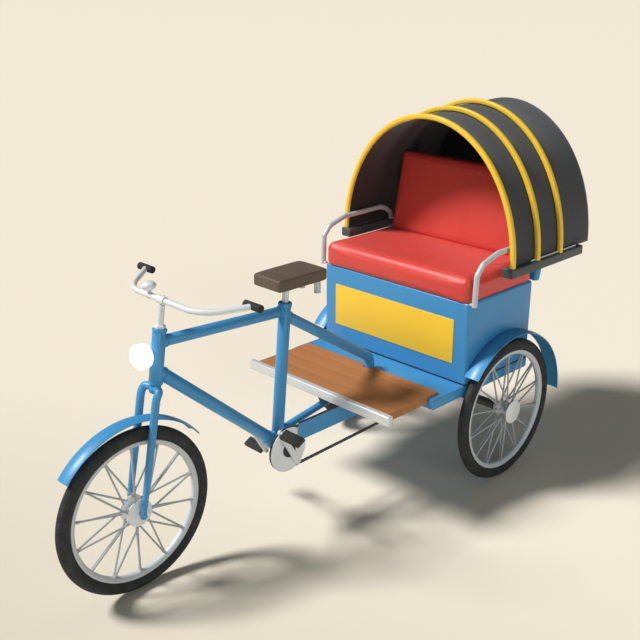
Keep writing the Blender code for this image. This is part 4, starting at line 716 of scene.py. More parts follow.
headBottom, headTop = np.array(layout["headBottom"]), np.array(layout["headTop"])
bracket, seatTop = np.array(layout["bracket"]), np.array(layout["seatTubeTop"])
headWay = unit(inPlane(headTop) - inPlane(headBottom))
topFront = onLine(headBottom, headTop, frameSizes["topFrontShare"])
topRear = onLine(bracket, seatTop, frameSizes["topRearShare"])
downFront = onLine(headBottom, headTop, frameSizes["downShare"])
downFoot = np.array(frameSizes["downFoot"])
seatFoot = np.array(frameSizes["seatFoot"])
seatWay = unit(inPlane(seatTop) - inPlane(seatFoot))
backFront = onLine(bracket, seatTop, frameSizes["backShare"])
knee = np.array(frameSizes["backKnee"])
tubes = Form()
addTube(tubes, inPlane(headBottom), inPlane(headTop), frameSizes["headRadius"])
addTube(tubes, inPlane(topFront), inPlane(topRear), frameSizes["topRadius"])
addTube(tubes, inPlane(downFront), inPlane(downFoot), frameSizes["downRadius"])
addTube(tubes, inPlane(seatFoot), inPlane(seatTop), frameSizes["seatRadius"])
backFoot = (knee[0], layout["deckTop"] + 0.0003)
backCorners = [inPlane(backFront), inPlane(knee), inPlane(backFoot)]
backPath = rounded(backCorners, frameSizes["kneeReach"], 12)
addRod(tubes, backPath, frameSizes["backRadius"], (1, 0, 0), 40)
addTube(tubes, inPlane(frameSizes["stayFoot"]), inPlane(frameSizes["stayEnd"]), frameSizes["stayRadius"])
shellHalf = frameSizes["shellHalf"]
addTube(tubes, inPlane(bracket, -shellHalf), inPlane(bracket, shellHalf), frameSizes["shellRadius"])
headRing = [(-0.006, 0.0270), (-0.005, 0.0292), (0.005, 0.0292), (0.006, 0.0270)]
for share in (0.035, 0.965):
    addTurned(tubes, headRing, inPlane(onLine(headBottom, headTop, share)), "z", 48, True, headWay)
collar = [(-0.022, 0.0275), (-0.020, 0.0300), (-0.002, 0.0300), (0.0, 0.0280)]
collar += [(0.0, 0.0142), (-0.022, 0.0142)]
addTurned(tubes, collar, inPlane(seatTop), "z", 48, True, seatWay)
for first, last, share, radius in (
    (topFront, topRear, 0.047, frameSizes["topRadius"]),
    (topFront, topRear, 0.956, frameSizes["topRadius"]),
    (downFront, downFoot, 0.045, frameSizes["downRadius"]),
    (downFront, downFoot, 0.955, frameSizes["downRadius"]),
    (seatFoot, seatTop, 0.045, frameSizes["seatRadius"]),
    (backFront, knee, 0.046, frameSizes["backRadius"]),
):
    addBead(tubes, inPlane(onLine(first, last, share)), inPlane(last - first), radius)
piece("frameTubes", tubes, blue, "carriage", ["main_frame"], sharp=50)

fork = Form()
forkSizes = {
    "legX": 0.0505,
    "legRadius": 0.0162,
    "tip": 0.70,
    "lead": 0.032,
    "shoulder": 0.020,
    "reach": 0.35,
    "lift": 0.006,
    "crown": (row(-1.684906), 0.844),
    "crownRadius": 0.0235,
    "steererRadius": 0.0135,
    "slimFrom": 0.24,
}
crown = np.array(forkSizes["crown"])
addTube(fork, inPlane(crown), inPlane(headTop), forkSizes["steererRadius"])
crownLow, crownHigh = inPlane(crown) - headWay * 0.016, inPlane(crown) + headWay * 0.0165
addTube(fork, crownLow, crownHigh, forkSizes["crownRadius"])
for side in (1, -1):
    x = side * forkSizes["legX"]
    corners = [
        (0.0, crown[0], crown[1] + forkSizes["lift"]),
        (x, crown[0] - forkSizes["lead"] / 2, crown[1] + forkSizes["lift"]),
        (x, crown[0] - forkSizes["lead"], crown[1] - forkSizes["shoulder"]),
        (x, layout["frontHub"][0], layout["frontHub"][1] - 0.015),
    ]
    path = rounded(corners, 0.026, 10)
    path = np.concatenate([path[:-1], straight(path[-2], path[-1], 14)[1:]])
    run = np.cumsum(np.linalg.norm(np.diff(path, axis=0, prepend=path[:1]), axis=1))
    slim = 1 - (1 - forkSizes["tip"]) * np.clip((run - forkSizes["slimFrom"]) / forkSizes["reach"], 0, 1)
    addRod(fork, path, forkSizes["legRadius"] * slim, (0.02, 1, 0.35), 32)
piece("forkLegs", fork, blue, "fork", ["fork"], sharp=50)

axleNuts = Form()
hubPlace = inPlane(layout["frontHub"])
for side in (1, -1):
    nut = [(0.0620, 0.0), (0.0620, 0.0085), (0.0690, 0.0085), (0.0700, 0.0070), (0.0700, 0.0)]
    washer = [(0.0600, 0.0), (0.0600, 0.0110), (0.0622, 0.0110), (0.0622, 0.0)]
    addTurned(axleNuts, np.array(nut) * np.array([side, 1]), hubPlace, steps=6)
    addTurned(axleNuts, np.array(washer) * np.array([side, 1]), hubPlace, steps=32)
piece("frontAxleNuts", axleNuts, blue, "fork", (), sharp=25)
paint(["front_axle", "rear_axle"], silverPlain)
paint(["lamp_bracket"], blue)


# Mudguards

print("mudguards")
guardSizes = {
    "crown": 0.007,
    "thickness": 0.0026,
    "lip": 0.0022,
    "frontRadius": 0.399,
    "frontArc": (38.5, 141),
    "frontHalf": 0.034,
    "rearRadius": 0.401,
    "rearArc": (0, 140),
    "rearEdges": (0.4533, 0.5333),
}


# a crowned strip rolled to an arc, its long edges turned in: radius - crown * across squared
def mudguard(name, centre, radius, start, end, lowX, highX, body, node):
    form = Form()
    sets = guardSizes
    angle = np.radians(np.linspace(start, end, 97))[:, None]
    across = np.linspace(-1, 1, 25)
    reach = radius - sets["crown"] * across**2 - 0.0008
    x = (lowX + highX) / 2 + (highX - lowX) / 2 * across * 0.998 + 0 * angle
    walls = []
    for distance in (reach, reach - sets["thickness"]):
        y, z = centre[0] + distance * np.cos(angle), centre[1] + distance * np.sin(angle)
        walls.append(np.stack([x, y, z], -1))
    strip = np.concatenate([walls[0], walls[1][:, ::-1]], 1)
    form.grid(strip, closeColumns=True, capStart=True, capEnd=True)
    bead = radius - sets["crown"] - sets["lip"] * 1.15
    for side in (-1, 1):
        edge = np.full(97, (lowX + highX) / 2 + side * ((highX - lowX) / 2 - sets["lip"]))
        y, z = centre[0] + bead * np.cos(angle[:, 0]), centre[1] + bead * np.sin(angle[:, 0])
        addRod(form, np.stack([edge, y, z], -1), sets["lip"], (1, 0, 0), 12)
    return piece(name, form, blue, body, [node], sharp=60)


sets = guardSizes
half, arc = sets["frontHalf"], sets["frontArc"]
place = layout["frontHub"]
mudguard("frontMudguard", place, sets["frontRadius"], *arc, -half, half, "fork", "front_mudguard")
for side, tag, word in ((1, "left", "Left"), (-1, "right", "Right")):
    edges = sorted(side * edge for edge in sets["rearEdges"])
    node = "rear_mudguard_" + tag
    name, arc, place = "rearMudguard" + word, sets["rearArc"], layout["rearHub"]
    mudguard(name, place, sets["rearRadius"], *arc, *edges, "carriage", node)


# Handlebar, stem, bell and grips

print("handlebar")
barSizes = {
    "radius": 0.0120,
    "bendX": 0.185,
    "cornerX": 0.252,
    "cornerBack": 0.045,
    "gripX": 0.336,
    "gripBack": 0.166,
    "gripRise": 0.017,
    "gripRadius": 0.0155,
    "gripHalf": 0.0475,
    "bellX": -0.080,
    "bend": 0.085,
    "stemRadius": 0.0140,
    "stemLength": 0.09,
    "bellMiddle": 0.0395,
    "bellRadius": 0.0285,
    "bellHalf": 0.0185,
}
barY, barZ = layout["barY"], layout["barHeight"]
grip = np.array([barSizes["gripX"], barY + barSizes["gripBack"], barZ + barSizes["gripRise"]])
corner = np.array([barSizes["cornerX"], barY + barSizes["cornerBack"], barZ])
tip = grip + unit(corner - grip) * 0.010
half = [(0.0, barY, barZ), (barSizes["bendX"], barY, barZ), corner, tip]
barPath = rounded([mirrored(p) for p in half[:0:-1]] + half[1:], barSizes["bend"], 14)
bar = Form()
addRod(bar, barPath, barSizes["radius"], (0, 0.02, 1), 32)
piece("handlebarTube", bar, silver, "fork", ["handlebar"], sharp=50)

stem = Form()
clampPlace = np.array([0.0, barY, barZ])
stemFoot = inPlane(headTop) + headWay * 0.0004
stemPath = np.stack([stemFoot, stemFoot + headWay * barSizes["stemLength"]])
addRod(stem, stemPath, barSizes["stemRadius"], (1, 0, 0), 32)
clampRing = rounded([(-0.022, 0.0129), (-0.022, 0.0165), (0.022, 0.0165), (0.022, 0.0129)], 0.0015, 3)
addTurned(stem, clampRing, clampPlace, "x", 40, True)
lockNut = rounded([(0.0, 0.0), (0.0, 0.0245), (0.008, 0.0245), (0.013, 0.0200), (0.013, 0.0)], 0.0015, 3)
addTurned(stem, lockNut, stemFoot, "z", 6, False, headWay)
addDome(stem, (0.0, barY + 0.0100, barZ + 0.0140), (0, 0.6, 0.8), 0.0052, 0.004)
piece("stemAndClamp", stem, silver, "fork", ["stem"], sharp=35)

# closed grips: a rib every few millimetres, radius = r + rib * cos(k x), with rounded ends
for side, tag, word in ((1, "left", "Left"), (-1, "right", "Right")):
    form = Form()
    x = np.linspace(-barSizes["gripHalf"], barSizes["gripHalf"], 73)
    edge = np.clip((barSizes["gripHalf"] - np.abs(x)) / 0.004, 0, 1)
    rib = 0.0005 * np.cos(x * 1150) - 0.0006
    radius = (barSizes["gripRadius"] + rib) * np.sqrt(1 - (1 - edge) ** 2 * 0.55)
    profile = np.concatenate([[(x[0], 0.0)], np.stack([x, radius], -1), [(x[-1], 0.0)]])
    addTurned(form, profile, grip * np.array([side, 1, 1]), "x", 40)
    piece("handGrip" + word, form, gripDark, "fork", ["grip_" + tag], sharp=70)

bell = Form()
bellFoot = np.array([barSizes["bellX"], barY, barZ])
band = rounded([(-0.006, 0.0123), (-0.006, 0.0140), (0.006, 0.0140), (0.006, 0.0123)], 0.0008, 2)
addTurned(bell, band, bellFoot, "x", 32, True)
swell = np.radians(np.linspace(-76, 90, 24))
bellHeight = barSizes["bellMiddle"] + barSizes["bellHalf"] * np.sin(swell)
dome = np.stack([bellHeight, barSizes["bellRadius"] * np.cos(swell)], -1)
dome = np.concatenate([[(0.0125, 0.0), (0.0125, 0.0060)], dome])
addTurned(bell, dome, bellFoot, "z", 48)
piece("bellDome", bell, silver, "fork", ["bell"], sharp=45)


# Headlamp

print("headlamp")
lampPlace = np.array([0.0, row(-1.735868), 0.9929])
back = [(0.0320, 0.0), (0.0320, 0.0350), (0.0180, 0.0490), (-0.0160, 0.0492), (-0.0205, 0.0490)]
back += [(-0.0215, 0.0470), (-0.0200, 0.0)]
front = [(-0.0190, 0.0), (-0.0190, 0.0470), (-0.0225, 0.0470), (-0.0320, 0.0360), (-0.0320, 0.0)]
shell = Form()
addTurned(shell, rounded(back, 0.008, 6), lampPlace, "y", 64)
# the shell is no lamp: its glow is a painted glow that makes it read bright white
piece("lampShellPaintedGlow", shell, glowFinish("lampShellPaintedGlow", 0.75), "carriage", ["headlamp"], sharp=40)
lens = Form()
addTurned(lens, rounded(front, 0.006, 6), lampPlace, "y", 64)
piece("lampFront", lens, glowFinish("lampLens", 1.15), "carriage", (), sharp=40)


# Cranks, chainring, pedals and chain

print("drive")
driveSizes = {
    "crank": 0.130,
    "crankAngle": math.radians(120.5),
    "tail": 0.072,
    "armInner": 0.1155,
    "armThick": 0.013,
    "pedalGap": 0.012,
    "pedalLength": 0.112,
    "pedalTilt": math.radians(28),
    "chainX": 0.0925,
    "ringRadius": 0.0965,
    "ringTeeth": 38,
    "sprocketRadius": 0.034,
    "sprocketTeeth": 14,
}
bracketPlace = inPlane(bracket)


def crankTip(side):
    turn = driveSizes["crankAngle"] + (0 if side > 0 else math.pi)
    return bracket + driveSizes["crank"] * np.array([math.cos(turn), math.sin(turn)])


# teeth stand on a ring: radius = r + tooth * a sharpened cosine of the angle
def toothed(x, half, radius, tooth, count, centre, bore):
    steps = count * 8
    angle = np.linspace(0, 2 * np.pi, steps, endpoint=False)
    wave = 0.5 + 0.5 * np.cos(angle * count)
    tip = radius + tooth * wave**0.7
    body = radius - 0.006
    rings = []
    for place, size in ((-1, bore), (-1, body), (-0.55, None), (0.55, None), (1, body), (1, bore)):
        reach = tip if size is None else np.full(steps, size)
        y, z = centre[0] + reach * np.cos(angle), centre[1] + reach * np.sin(angle)
        rings.append(np.stack([np.full(steps, x + place * half), y, z], -1))
    return np.stack(rings, 1)


# outline of an arm: two half circles joined, narrow at the pedal; four rows give its rounded faces
def addArm(form, tip, tail, inner, outer, tipRadius=0.0120, tailRadius=0.0150):
    turn = math.atan2(tip[1] - tail[1], tip[0] - tail[0])
    cap = np.radians(np.linspace(-90, 90, 13))
    centres = np.concatenate([np.repeat([tail], 13, 0), np.repeat([tip], 13, 0)])
    around = np.concatenate([cap + turn + np.pi, cap + turn])
    size = np.repeat([tailRadius, tipRadius], 13)[:, None]
    spread = size * np.stack([np.cos(around), np.sin(around)], -1)
    rows = []
    step = math.copysign(0.0025, outer - inner)
    for place, keep in ((inner, 0.84), (inner + step, 1.0), (outer - step, 1.0), (outer, 0.80)):
        flat = centres + spread * keep
        rows.append(np.stack([np.full(26, place), flat[:, 0], flat[:, 1]], -1))
    form.grid(np.stack(rows), closeColumns=True, capStart=True, capEnd=True)


crankSet = Form()
arms = Form()
armInner, armOuter = driveSizes["armInner"], driveSizes["armInner"] + driveSizes["armThick"]
disc = [(0.0990, 0.020), (0.0990, 0.1020), (0.0998, 0.1030), (0.1022, 0.1030), (0.1030, 0.1022)]
disc += [(0.1030, 0.0985), (0.1018, 0.0965), (0.1018, 0.0420), (0.1030, 0.0400), (0.1030, 0.020)]
addTurned(crankSet, disc, bracketPlace, "x", 96, True)
spindle = [(-0.1220, 0.0), (-0.1220, 0.0088), (0.1220, 0.0088), (0.1220, 0.0)]
addTurned(crankSet, spindle, bracketPlace, "x", 32)
ringGrid = toothed(driveSizes["chainX"], 0.0022, 0.0895, 0.0052, driveSizes["ringTeeth"], bracket, 0.020)
crankSet.grid(ringGrid, closeRows=True, closeColumns=True)
for step in range(5):
    turn = 2 * math.pi * (step + 0.3) / 5
    place = bracketPlace + np.array([0.1018, 0.068 * math.cos(turn), 0.068 * math.sin(turn)])
    addDome(crankSet, place, (1, 0, 0), 0.0055, 0.0025)
pedalEnd = armOuter + driveSizes["pedalGap"] + driveSizes["pedalLength"]
for side in (1, -1):
    end = crankTip(side)
    tail = bracket + (bracket - end) / driveSizes["crank"] * driveSizes["tail"] if side > 0 else bracket
    addArm(arms, end, tail, side * armInner, side * armOuter)
    pinEnd = pedalEnd - 0.0005
    pin = [(armInner, 0.0), (armInner, 0.006), (pinEnd - 0.0010, 0.006), (pinEnd, 0.0045), (pinEnd, 0.0)]
    addTurned(crankSet, np.array(pin) * np.array([side, 1]), inPlane(end), "x", 24)
piece("crankSet", crankSet, discSilver, "crank", ["crank"], sharp=30)
piece("crankArms", arms, armSilver, "crank", (), sharp=30)
caps = Form()
nearCap = [(0.1032, 0.0), (0.1032, 0.0330), (0.1135, 0.0325), (0.1150, 0.0300), (0.1150, 0.0)]
addTurned(caps, rounded(nearCap, 0.0015, 3), bracketPlace, "x", 48)
farCap = [(-0.1286, 0.0), (-0.1286, 0.0110), (-0.1315, 0.0100), (-0.1320, 0.0)]
addTurned(caps, rounded(farCap, 0.0008, 3), bracketPlace, "x", 40)
piece("crankCaps", caps, capDark, "crank", (), sharp=30)

# pedals: a tilted ribbed block between thin end plates
for side, tag, word in ((1, "left", "Left"), (-1, "right", "Right")):
    end = crankTip(side)
    inner = side * (armOuter + driveSizes["pedalGap"])
    lowX, highX = sorted((inner, inner + side * driveSizes["pedalLength"]))
    turn = {"about": end, "angle": driveSizes["pedalTilt"]}
    form = Form()
    low, high = (lowX, end[0] - 0.0236, end[1] - 0.0100), (highX, end[0] + 0.0236, end[1] + 0.0100)
    addBox(form, low, high, 0.002, 3, **turn)
    for face in (-1, 1):
        z = sorted((end[1] + face * 0.0092, end[1] + face * 0.0115))
        for x in np.linspace(lowX + 0.010, highX - 0.010, 7):
            low, high = (x - 0.0042, end[0] - 0.0225, z[0]), (x + 0.0042, end[0] + 0.0225, z[1])
            addBox(form, low, high, 0.0009, 2, **turn)
    piece("pedalTreads" + word, form, gripDark, "pedal_" + tag, ["pedal_" + tag], sharp=40)
    plates = Form()
    for x in (lowX - 0.0004, highX - 0.0021):
        low = (x, end[0] - 0.0205, end[1] - 0.0075)
        addBox(plates, low, (x + 0.0025, end[0] + 0.0205, end[1] + 0.0075), 0.0010, 3, **turn)
    piece("pedalPlates" + word, plates, capDark, "pedal_" + tag, (), sharp=40)

# chain: rollers and waisted plates spaced along the loop round both rings
chainSizes = {"links": 164, "plateHalf": 0.0062, "waist": 0.0050, "plateThick": 0.0009, "roller": 0.0042}
rearPlace = np.array(layout["rearHub"])
between = rearPlace - bracket
lean = math.atan2(between[1], between[0])
openAngle = math.acos((driveSizes["ringRadius"] - driveSizes["sprocketRadius"]) / np.linalg.norm(between))
sweepBig = np.linspace(lean + openAngle, lean + 2 * math.pi - openAngle, 400)
sweepSmall = np.linspace(lean - openAngle, lean + openAngle, 200)
bigArc = bracket + driveSizes["ringRadius"] * np.stack([np.cos(sweepBig), np.sin(sweepBig)], -1)
smallArc = rearPlace + driveSizes["sprocketRadius"] * np.stack([np.cos(sweepSmall), np.sin(sweepSmall)], -1)
loop = np.concatenate([bigArc, smallArc, bigArc[:1]])
run = np.concatenate([[0], np.cumsum(np.linalg.norm(np.diff(loop, axis=0), axis=1))])
marks = np.linspace(0, run[-1], chainSizes["links"] + 1)
pins = np.stack([np.interp(marks, run, loop[:, 0]), np.interp(marks, run, loop[:, 1])], -1)
chain = Form()
cap = np.radians(np.linspace(-80, 80, 5))
for k in range(chainSizes["links"]):
    first, last = pins[k], pins[k + 1]
    way = unit(last - first)
    square = np.array([-way[1], way[0]])
    middle = (first + last) / 2
    along, over = np.cos(cap)[:, None] * way, np.sin(cap)[:, None] * square
    left = first + chainSizes["plateHalf"] * (over - along)
    right = last + chainSizes["plateHalf"] * (along - over)
    waist = square * chainSizes["waist"]
    outline = np.concatenate([left, [middle + waist], right, [middle - waist]])
    start = 0.0036 if k % 2 else 0.0026
    for sign in (1, -1):
        rows = []
        for x in (start, start + chainSizes["plateThick"]):
            place = np.full(len(outline), driveSizes["chainX"] + sign * x)
            rows.append(np.stack([place, outline[:, 0], outline[:, 1]], -1))
        chain.grid(np.stack(rows), closeColumns=True, capStart=True, capEnd=True)
    chainX = driveSizes["chainX"]
    roller = straight(inPlane(first, chainX - 0.0042), inPlane(first, chainX + 0.0042))
    addRod(chain, roller, chainSizes["roller"], (0, 0, 1), 8)
piece("driveChain", chain, chainDark, "carriage", ["chain"], sharp=30)
sprocket = Form()
teeth = toothed(driveSizes["chainX"], 0.0022, 0.0275, 0.0050, driveSizes["sprocketTeeth"], rearPlace, 0.0127)
sprocket.grid(teeth, closeRows=True, closeColumns=True)
piece("rearSprocket", sprocket, chainDark, "rear_drive", (), sharp=30)
edgingSizes = {
    "front": row(-1.0245),
    "rear": row(-0.4075),
    "low": 0.4980,
    "high": 0.5078,
    "inner": 0.1072,
    "outer": 0.1110,
}
edging = Form()
low = (edgingSizes["inner"], edgingSizes["front"], edgingSizes["low"])
high = (edgingSizes["outer"], edgingSizes["rear"], edgingSizes["high"])
addBox(edging, low, high, 0.0012, 3)
piece("guardEdging", edging, capDark, "carriage", (), sharp=40)
paint(["chain_guard"], blue)


# Saddle

print("saddle")
saddleSizes = {
    "halfWidth": 0.0875,
    "front": row(-1.103),
    "rear": row(-0.823),
    "low": 1.110,
    "high": 1.168,
    "plan": 0.12,
    "stand": 0.20,
    "crown": 0.0035,
}


# a padded block: superellipse rows whose top crowns and whose sides pull in a little between corners
def saddleShape():
    s = saddleSizes
    middle = np.array([0, (s["front"] + s["rear"]) / 2, (s["low"] + s["high"]) / 2])
    half = np.array([s["halfWidth"], (s["rear"] - s["front"]) / 2, (s["high"] - s["low"]) / 2])
    turn = np.linspace(0, 2 * np.pi, 200, endpoint=False)
    rise = np.linspace(-np.pi / 2, np.pi / 2, 81)[:, None]
    cos = np.sign(np.cos(turn)) * np.abs(np.cos(turn)) ** s["plan"]
    sin = np.sign(np.sin(turn)) * np.abs(np.sin(turn)) ** s["plan"]
    ring = np.abs(np.cos(rise)) ** s["stand"]
    z = np.sign(np.sin(rise)) * np.abs(np.sin(rise)) ** s["stand"]
    x = half[0] * ring * cos
    y = half[1] * ring * sin
    # narrower at the nose
    x = x * (1 - 0.03 * np.clip(-y / half[1], 0, 1) ** 2)
    z = half[2] * z - s["crown"] * (z > 0) * ((x / half[0]) ** 2 + (y / half[1]) ** 2) / 2
    pull = 1 - 0.010 * np.cos(rise) ** 2 * (1 - np.abs(cos * sin) ** 0.5)
    return np.stack([x * pull, y * pull, z + 0 * x], -1) + middle


seatHide = Form()
seatHide.grid(saddleShape(), closeColumns=True)
saddleMade = piece("saddlePad", seatHide, saddleBrown, "carriage", ["saddle"], sharp=80)

springSizes = {
    "x": 0.050,
    "y": row(-0.850),
    "top": 1.1097,
    "length": 0.060,
    "radius": 0.0130,
    "wire": 0.0024,
    "turns": 6.0,
    "cup": 0.0155,
    "core": 0.0085,
}
for side, tag, word in ((1, "left", "Left"), (-1, "right", "Right")):
    s = springSizes
    form = Form()
    share = np.linspace(0, 1, 170)
    angle = 2 * np.pi * s["turns"] * share
    drop = 0.0035 + (s["length"] - 0.007) * np.clip((share - 0.04) / 0.92, 0, 1)
    x, y = side * s["x"] + s["radius"] * np.cos(angle), s["y"] + s["radius"] * np.sin(angle)
    addRod(form, np.stack([x, y, s["top"] - drop], -1), s["wire"], (0, 0, 1), 10)
    centre, foot = (side * s["x"], s["y"], 0), s["top"] - s["length"]
    for low, high in ((s["top"] - 0.003, s["top"]), (foot, foot + 0.003)):
        cup = rounded([(low, 0.0), (low, s["cup"]), (high, s["cup"]), (high, 0.0)], 0.001, 2)
        addTurned(form, cup, centre, "z", 32)
    low, high = foot + 0.001, s["top"] - 0.001
    core = [(low, 0.0), (low, s["core"]), (high, s["core"]), (high, 0.0)]
    addTurned(form, core, centre, "z", 24)
    node = "saddle_spring_" + tag
    piece("saddleSpring" + word, form, silver, "carriage", [node], sharp=40)
paint(["seat_post"], silver)


# Carriage body

print("carriage")
bodySizes = {
    "boxCorner": 0.012,
    "footShadeRise": 0.006,
    "plankGap": 0.0006,
    "chassisFront": row(-0.5213),
    "notchFront": row(-0.4757),
    "notchHalf": 0.0245,
}
boxLow, boxHigh = (np.array(v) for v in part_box("seat_box"))
box = Form()
addBox(box, boxLow, boxHigh, bodySizes["boxCorner"], 5)
piece("seatBoxShell", box, blueBox, "carriage", ["seat_box"], sharp=30)
# a dark strip round the box's foot is painted shade: it stands in for the shadow line where the box meets
# the deck
footShade = Form()
footShadeHigh = [boxHigh[0] + 0.0006, boxHigh[1] + 0.0006, boxLow[2] + bodySizes["footShadeRise"]]
addBox(footShade, boxLow - [0.0006, 0.0006, -0.0002], footShadeHigh, 0.0009, 2)
piece("boxFootShade", footShade, capDark, "carriage", (), sharp=30)
panelLow, panelHigh = (np.array(v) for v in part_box("front_panel"))
panel = Form()
addBox(panel, panelLow, panelHigh, 0.0012, 3)
piece("yellowPanel", panel, yellow, "carriage", ["front_panel"], sharp=30)
screws = Form()
for x in np.linspace(panelLow[0] + 0.022, panelHigh[0] - 0.022, 6):
    for z in (panelLow[2] + 0.016, panelHigh[2] - 0.016):
        addDome(screws, (x, panelLow[1], z), (0, -1, 0), 0.0036, 0.0010)
piece("panelScrews", screws, yellow, "carriage", (), sharp=40)
paint(["chassis", "footboard_bearer_left", "footboard_bearer_right", "back_panel"], blueBox)
paint(["axle_hanger_left", "axle_hanger_right"], underDark)

# planks: thick ones in front of the chassis, a thin one on it, cut round the frame's foot
boardLow, boardHigh = (np.array(v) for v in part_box("footboard"))
board = Form()
screwRows = []
gap = bodySizes["plankGap"]
edges = np.linspace(boardLow[1], bodySizes["chassisFront"], 4)
for first, last in zip(edges[:-1], edges[1:]):
    addBox(board, (boardLow[0], first, boardLow[2]), (boardHigh[0], last - gap, boardHigh[2]), 0.0014, 3)
    screwRows.append((first + last) / 2)
thin, front, rear = layout["deckTop"], bodySizes["notchFront"], boardHigh[1]
addBox(board, (boardLow[0], edges[-1], thin), (boardHigh[0], front, boardHigh[2]), 0.0008, 2)
for side in (1, -1):
    near, far = sorted((side * bodySizes["notchHalf"], side * boardHigh[0]))
    addBox(board, (near, front - 0.0010, thin), (far, rear, boardHigh[2]), 0.0008, 2)
footWood = plankWood("footPlanks", float(edges[1] - edges[0]), float(edges[0]))
piece("footPlanks", board, footWood, "carriage", ["footboard"], sharp=30)
paint(["seat_board"], footWood)
barLow, barHigh = (np.array(v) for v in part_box("footboard_bar"))
edgeBar = Form()
addBox(edgeBar, barLow, barHigh, 0.005, 5)
piece("footEdgeBar", edgeBar, barSilver, "carriage", ["footboard_bar"], sharp=30)
boardScrews = Form()
for x in np.linspace(boardLow[0] + 0.03, boardHigh[0] - 0.03, 5):
    for y in screwRows:
        addDome(boardScrews, (x, y, boardHigh[2]), (0, 0, 1), 0.0032, 0.0007)
piece("boardScrews", boardScrews, screwBrass, "carriage", (), sharp=40)


# Armrests

print("armrests")
armSizes = {"x": 0.478, "radius": 0.0127, "bend": 0.005, "frontWall": 0.4533, "rearWall": 0.4463}
armPath = [
    (-0.2873, 0.949),
    (-0.282, 1.092),
    (-0.241, 1.138),
    (-0.135, 1.168),
    (0.140, 1.171),
    (0.189, 1.154),
    (0.226, 1.125),
    (0.226, 1.0928),
]
for side, tag, word in ((1, "left", "Left"), (-1, "right", "Right")):
    form = Form()
    points = [(side * armSizes["x"], row(y), z) for y, z in armPath]
    addRod(form, rounded(points, armSizes["bend"], 4), armSizes["radius"], (1, 0, 0), 28)
    for (y, z), wallX in ((armPath[0], armSizes["frontWall"]), (armPath[-1], armSizes["rearWall"])):
        near, far = sorted((side * wallX, side * armSizes["x"]))
        addBox(form, (near, row(y) - 0.008, z + 0.003), (far, row(y) + 0.008, z + 0.013), 0.002, 3)
        addDome(form, (side * (armSizes["x"] + 0.0117), row(y), z + 0.010), (side, 0, 0), 0.0050, 0.0016)
    piece("armrest" + word, form, silverPlain, "carriage", ["armrest_" + tag], sharp=40)


# Hood: rails, hoops, rods and the stretched cloth

print("hood")
hoodSizes = {
    "halfWidth": 0.5200,
    "height": 0.627,
    "heightGain": 0.018,
    "widthGain": 0.003,
    "hoopRadius": 0.0125,
    "foot": 1.0923,
    "sag": 0.006,
    "rearAs": row(0.385),
    "railInner": 0.476,
    "railOuter": 0.538,
    "bracketY": row(0.3037),
    "panelEdge": 0.4463,
    "cloth": 0.0022,
}
firstHoop, secondHoop, lastHoop = layout["hoopPlaces"]
hoodRear = layout["hoodRear"] - 0.003


# the arch's half width and height grow evenly from hoop to hoop, and more slowly behind the last
def hoopSize(y):
    y = np.asarray(y, float)
    slow = (hoodSizes["rearAs"] - lastHoop) / (layout["hoodRear"] - lastHoop)
    at = np.where(y > lastHoop, lastHoop + (y - lastHoop) * slow, y)
    share = (at - firstHoop) / (secondHoop - firstHoop)
    half = hoodSizes["halfWidth"] + hoodSizes["widthGain"] * share
    return half, hoodSizes["height"] + hoodSizes["heightGain"] * share


for number, y in enumerate(layout["hoopPlaces"], 1):
    half, height = hoopSize(y)
    angle = np.linspace(0, np.pi, 121)
    path = np.stack([half * np.cos(angle), np.full(121, y), hoodSizes["foot"] + height * np.sin(angle)], -1)
    path[0, 2] = path[-1, 2] = hoodSizes["foot"]
    form = Form()
    addRod(form, path, hoodSizes["hoopRadius"], (0, 1, 0), 28, power=0.62)
    node = "hood_hoop_%d" % number
    piece("hoodHoop%d" % number, form, hoopYellow, "carriage", [node], sharp=50)

for side, tag, word in ((1, "left", "Left"), (-1, "right", "Right")):
    low, high = (np.array(v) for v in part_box("hood_rail_" + tag))
    near, far = sorted((side * hoodSizes["railInner"], side * hoodSizes["railOuter"]))
    form = Form()
    addBox(form, (near, low[1], low[2]), (far, high[1], high[2]), 0.006, 5)
    near, far = sorted((side * hoodSizes["panelEdge"], side * 0.507))
    bracketY = hoodSizes["bracketY"]
    first, last = (near, bracketY - 0.007, low[2] + 0.006), (far, bracketY + 0.007, high[2] - 0.006)
    addBox(form, first, last, 0.002, 3)
    piece("hoodRail" + word, form, darkRail, "carriage", ["hood_rail_" + tag], sharp=35)
    rodLow, rodHigh = (np.array(v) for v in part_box("hood_rod_" + tag))
    x, z = (rodLow[0] + rodHigh[0]) / 2, (rodLow[2] + rodHigh[2]) / 2
    rodForm = Form()
    addTube(rodForm, (x, rodLow[1], z), (x, rodHigh[1], z), 0.004, 20, 0.0008)
    piece("hoodRod" + word, rodForm, silver, "carriage", ["hood_rod_" + tag], sharp=40)


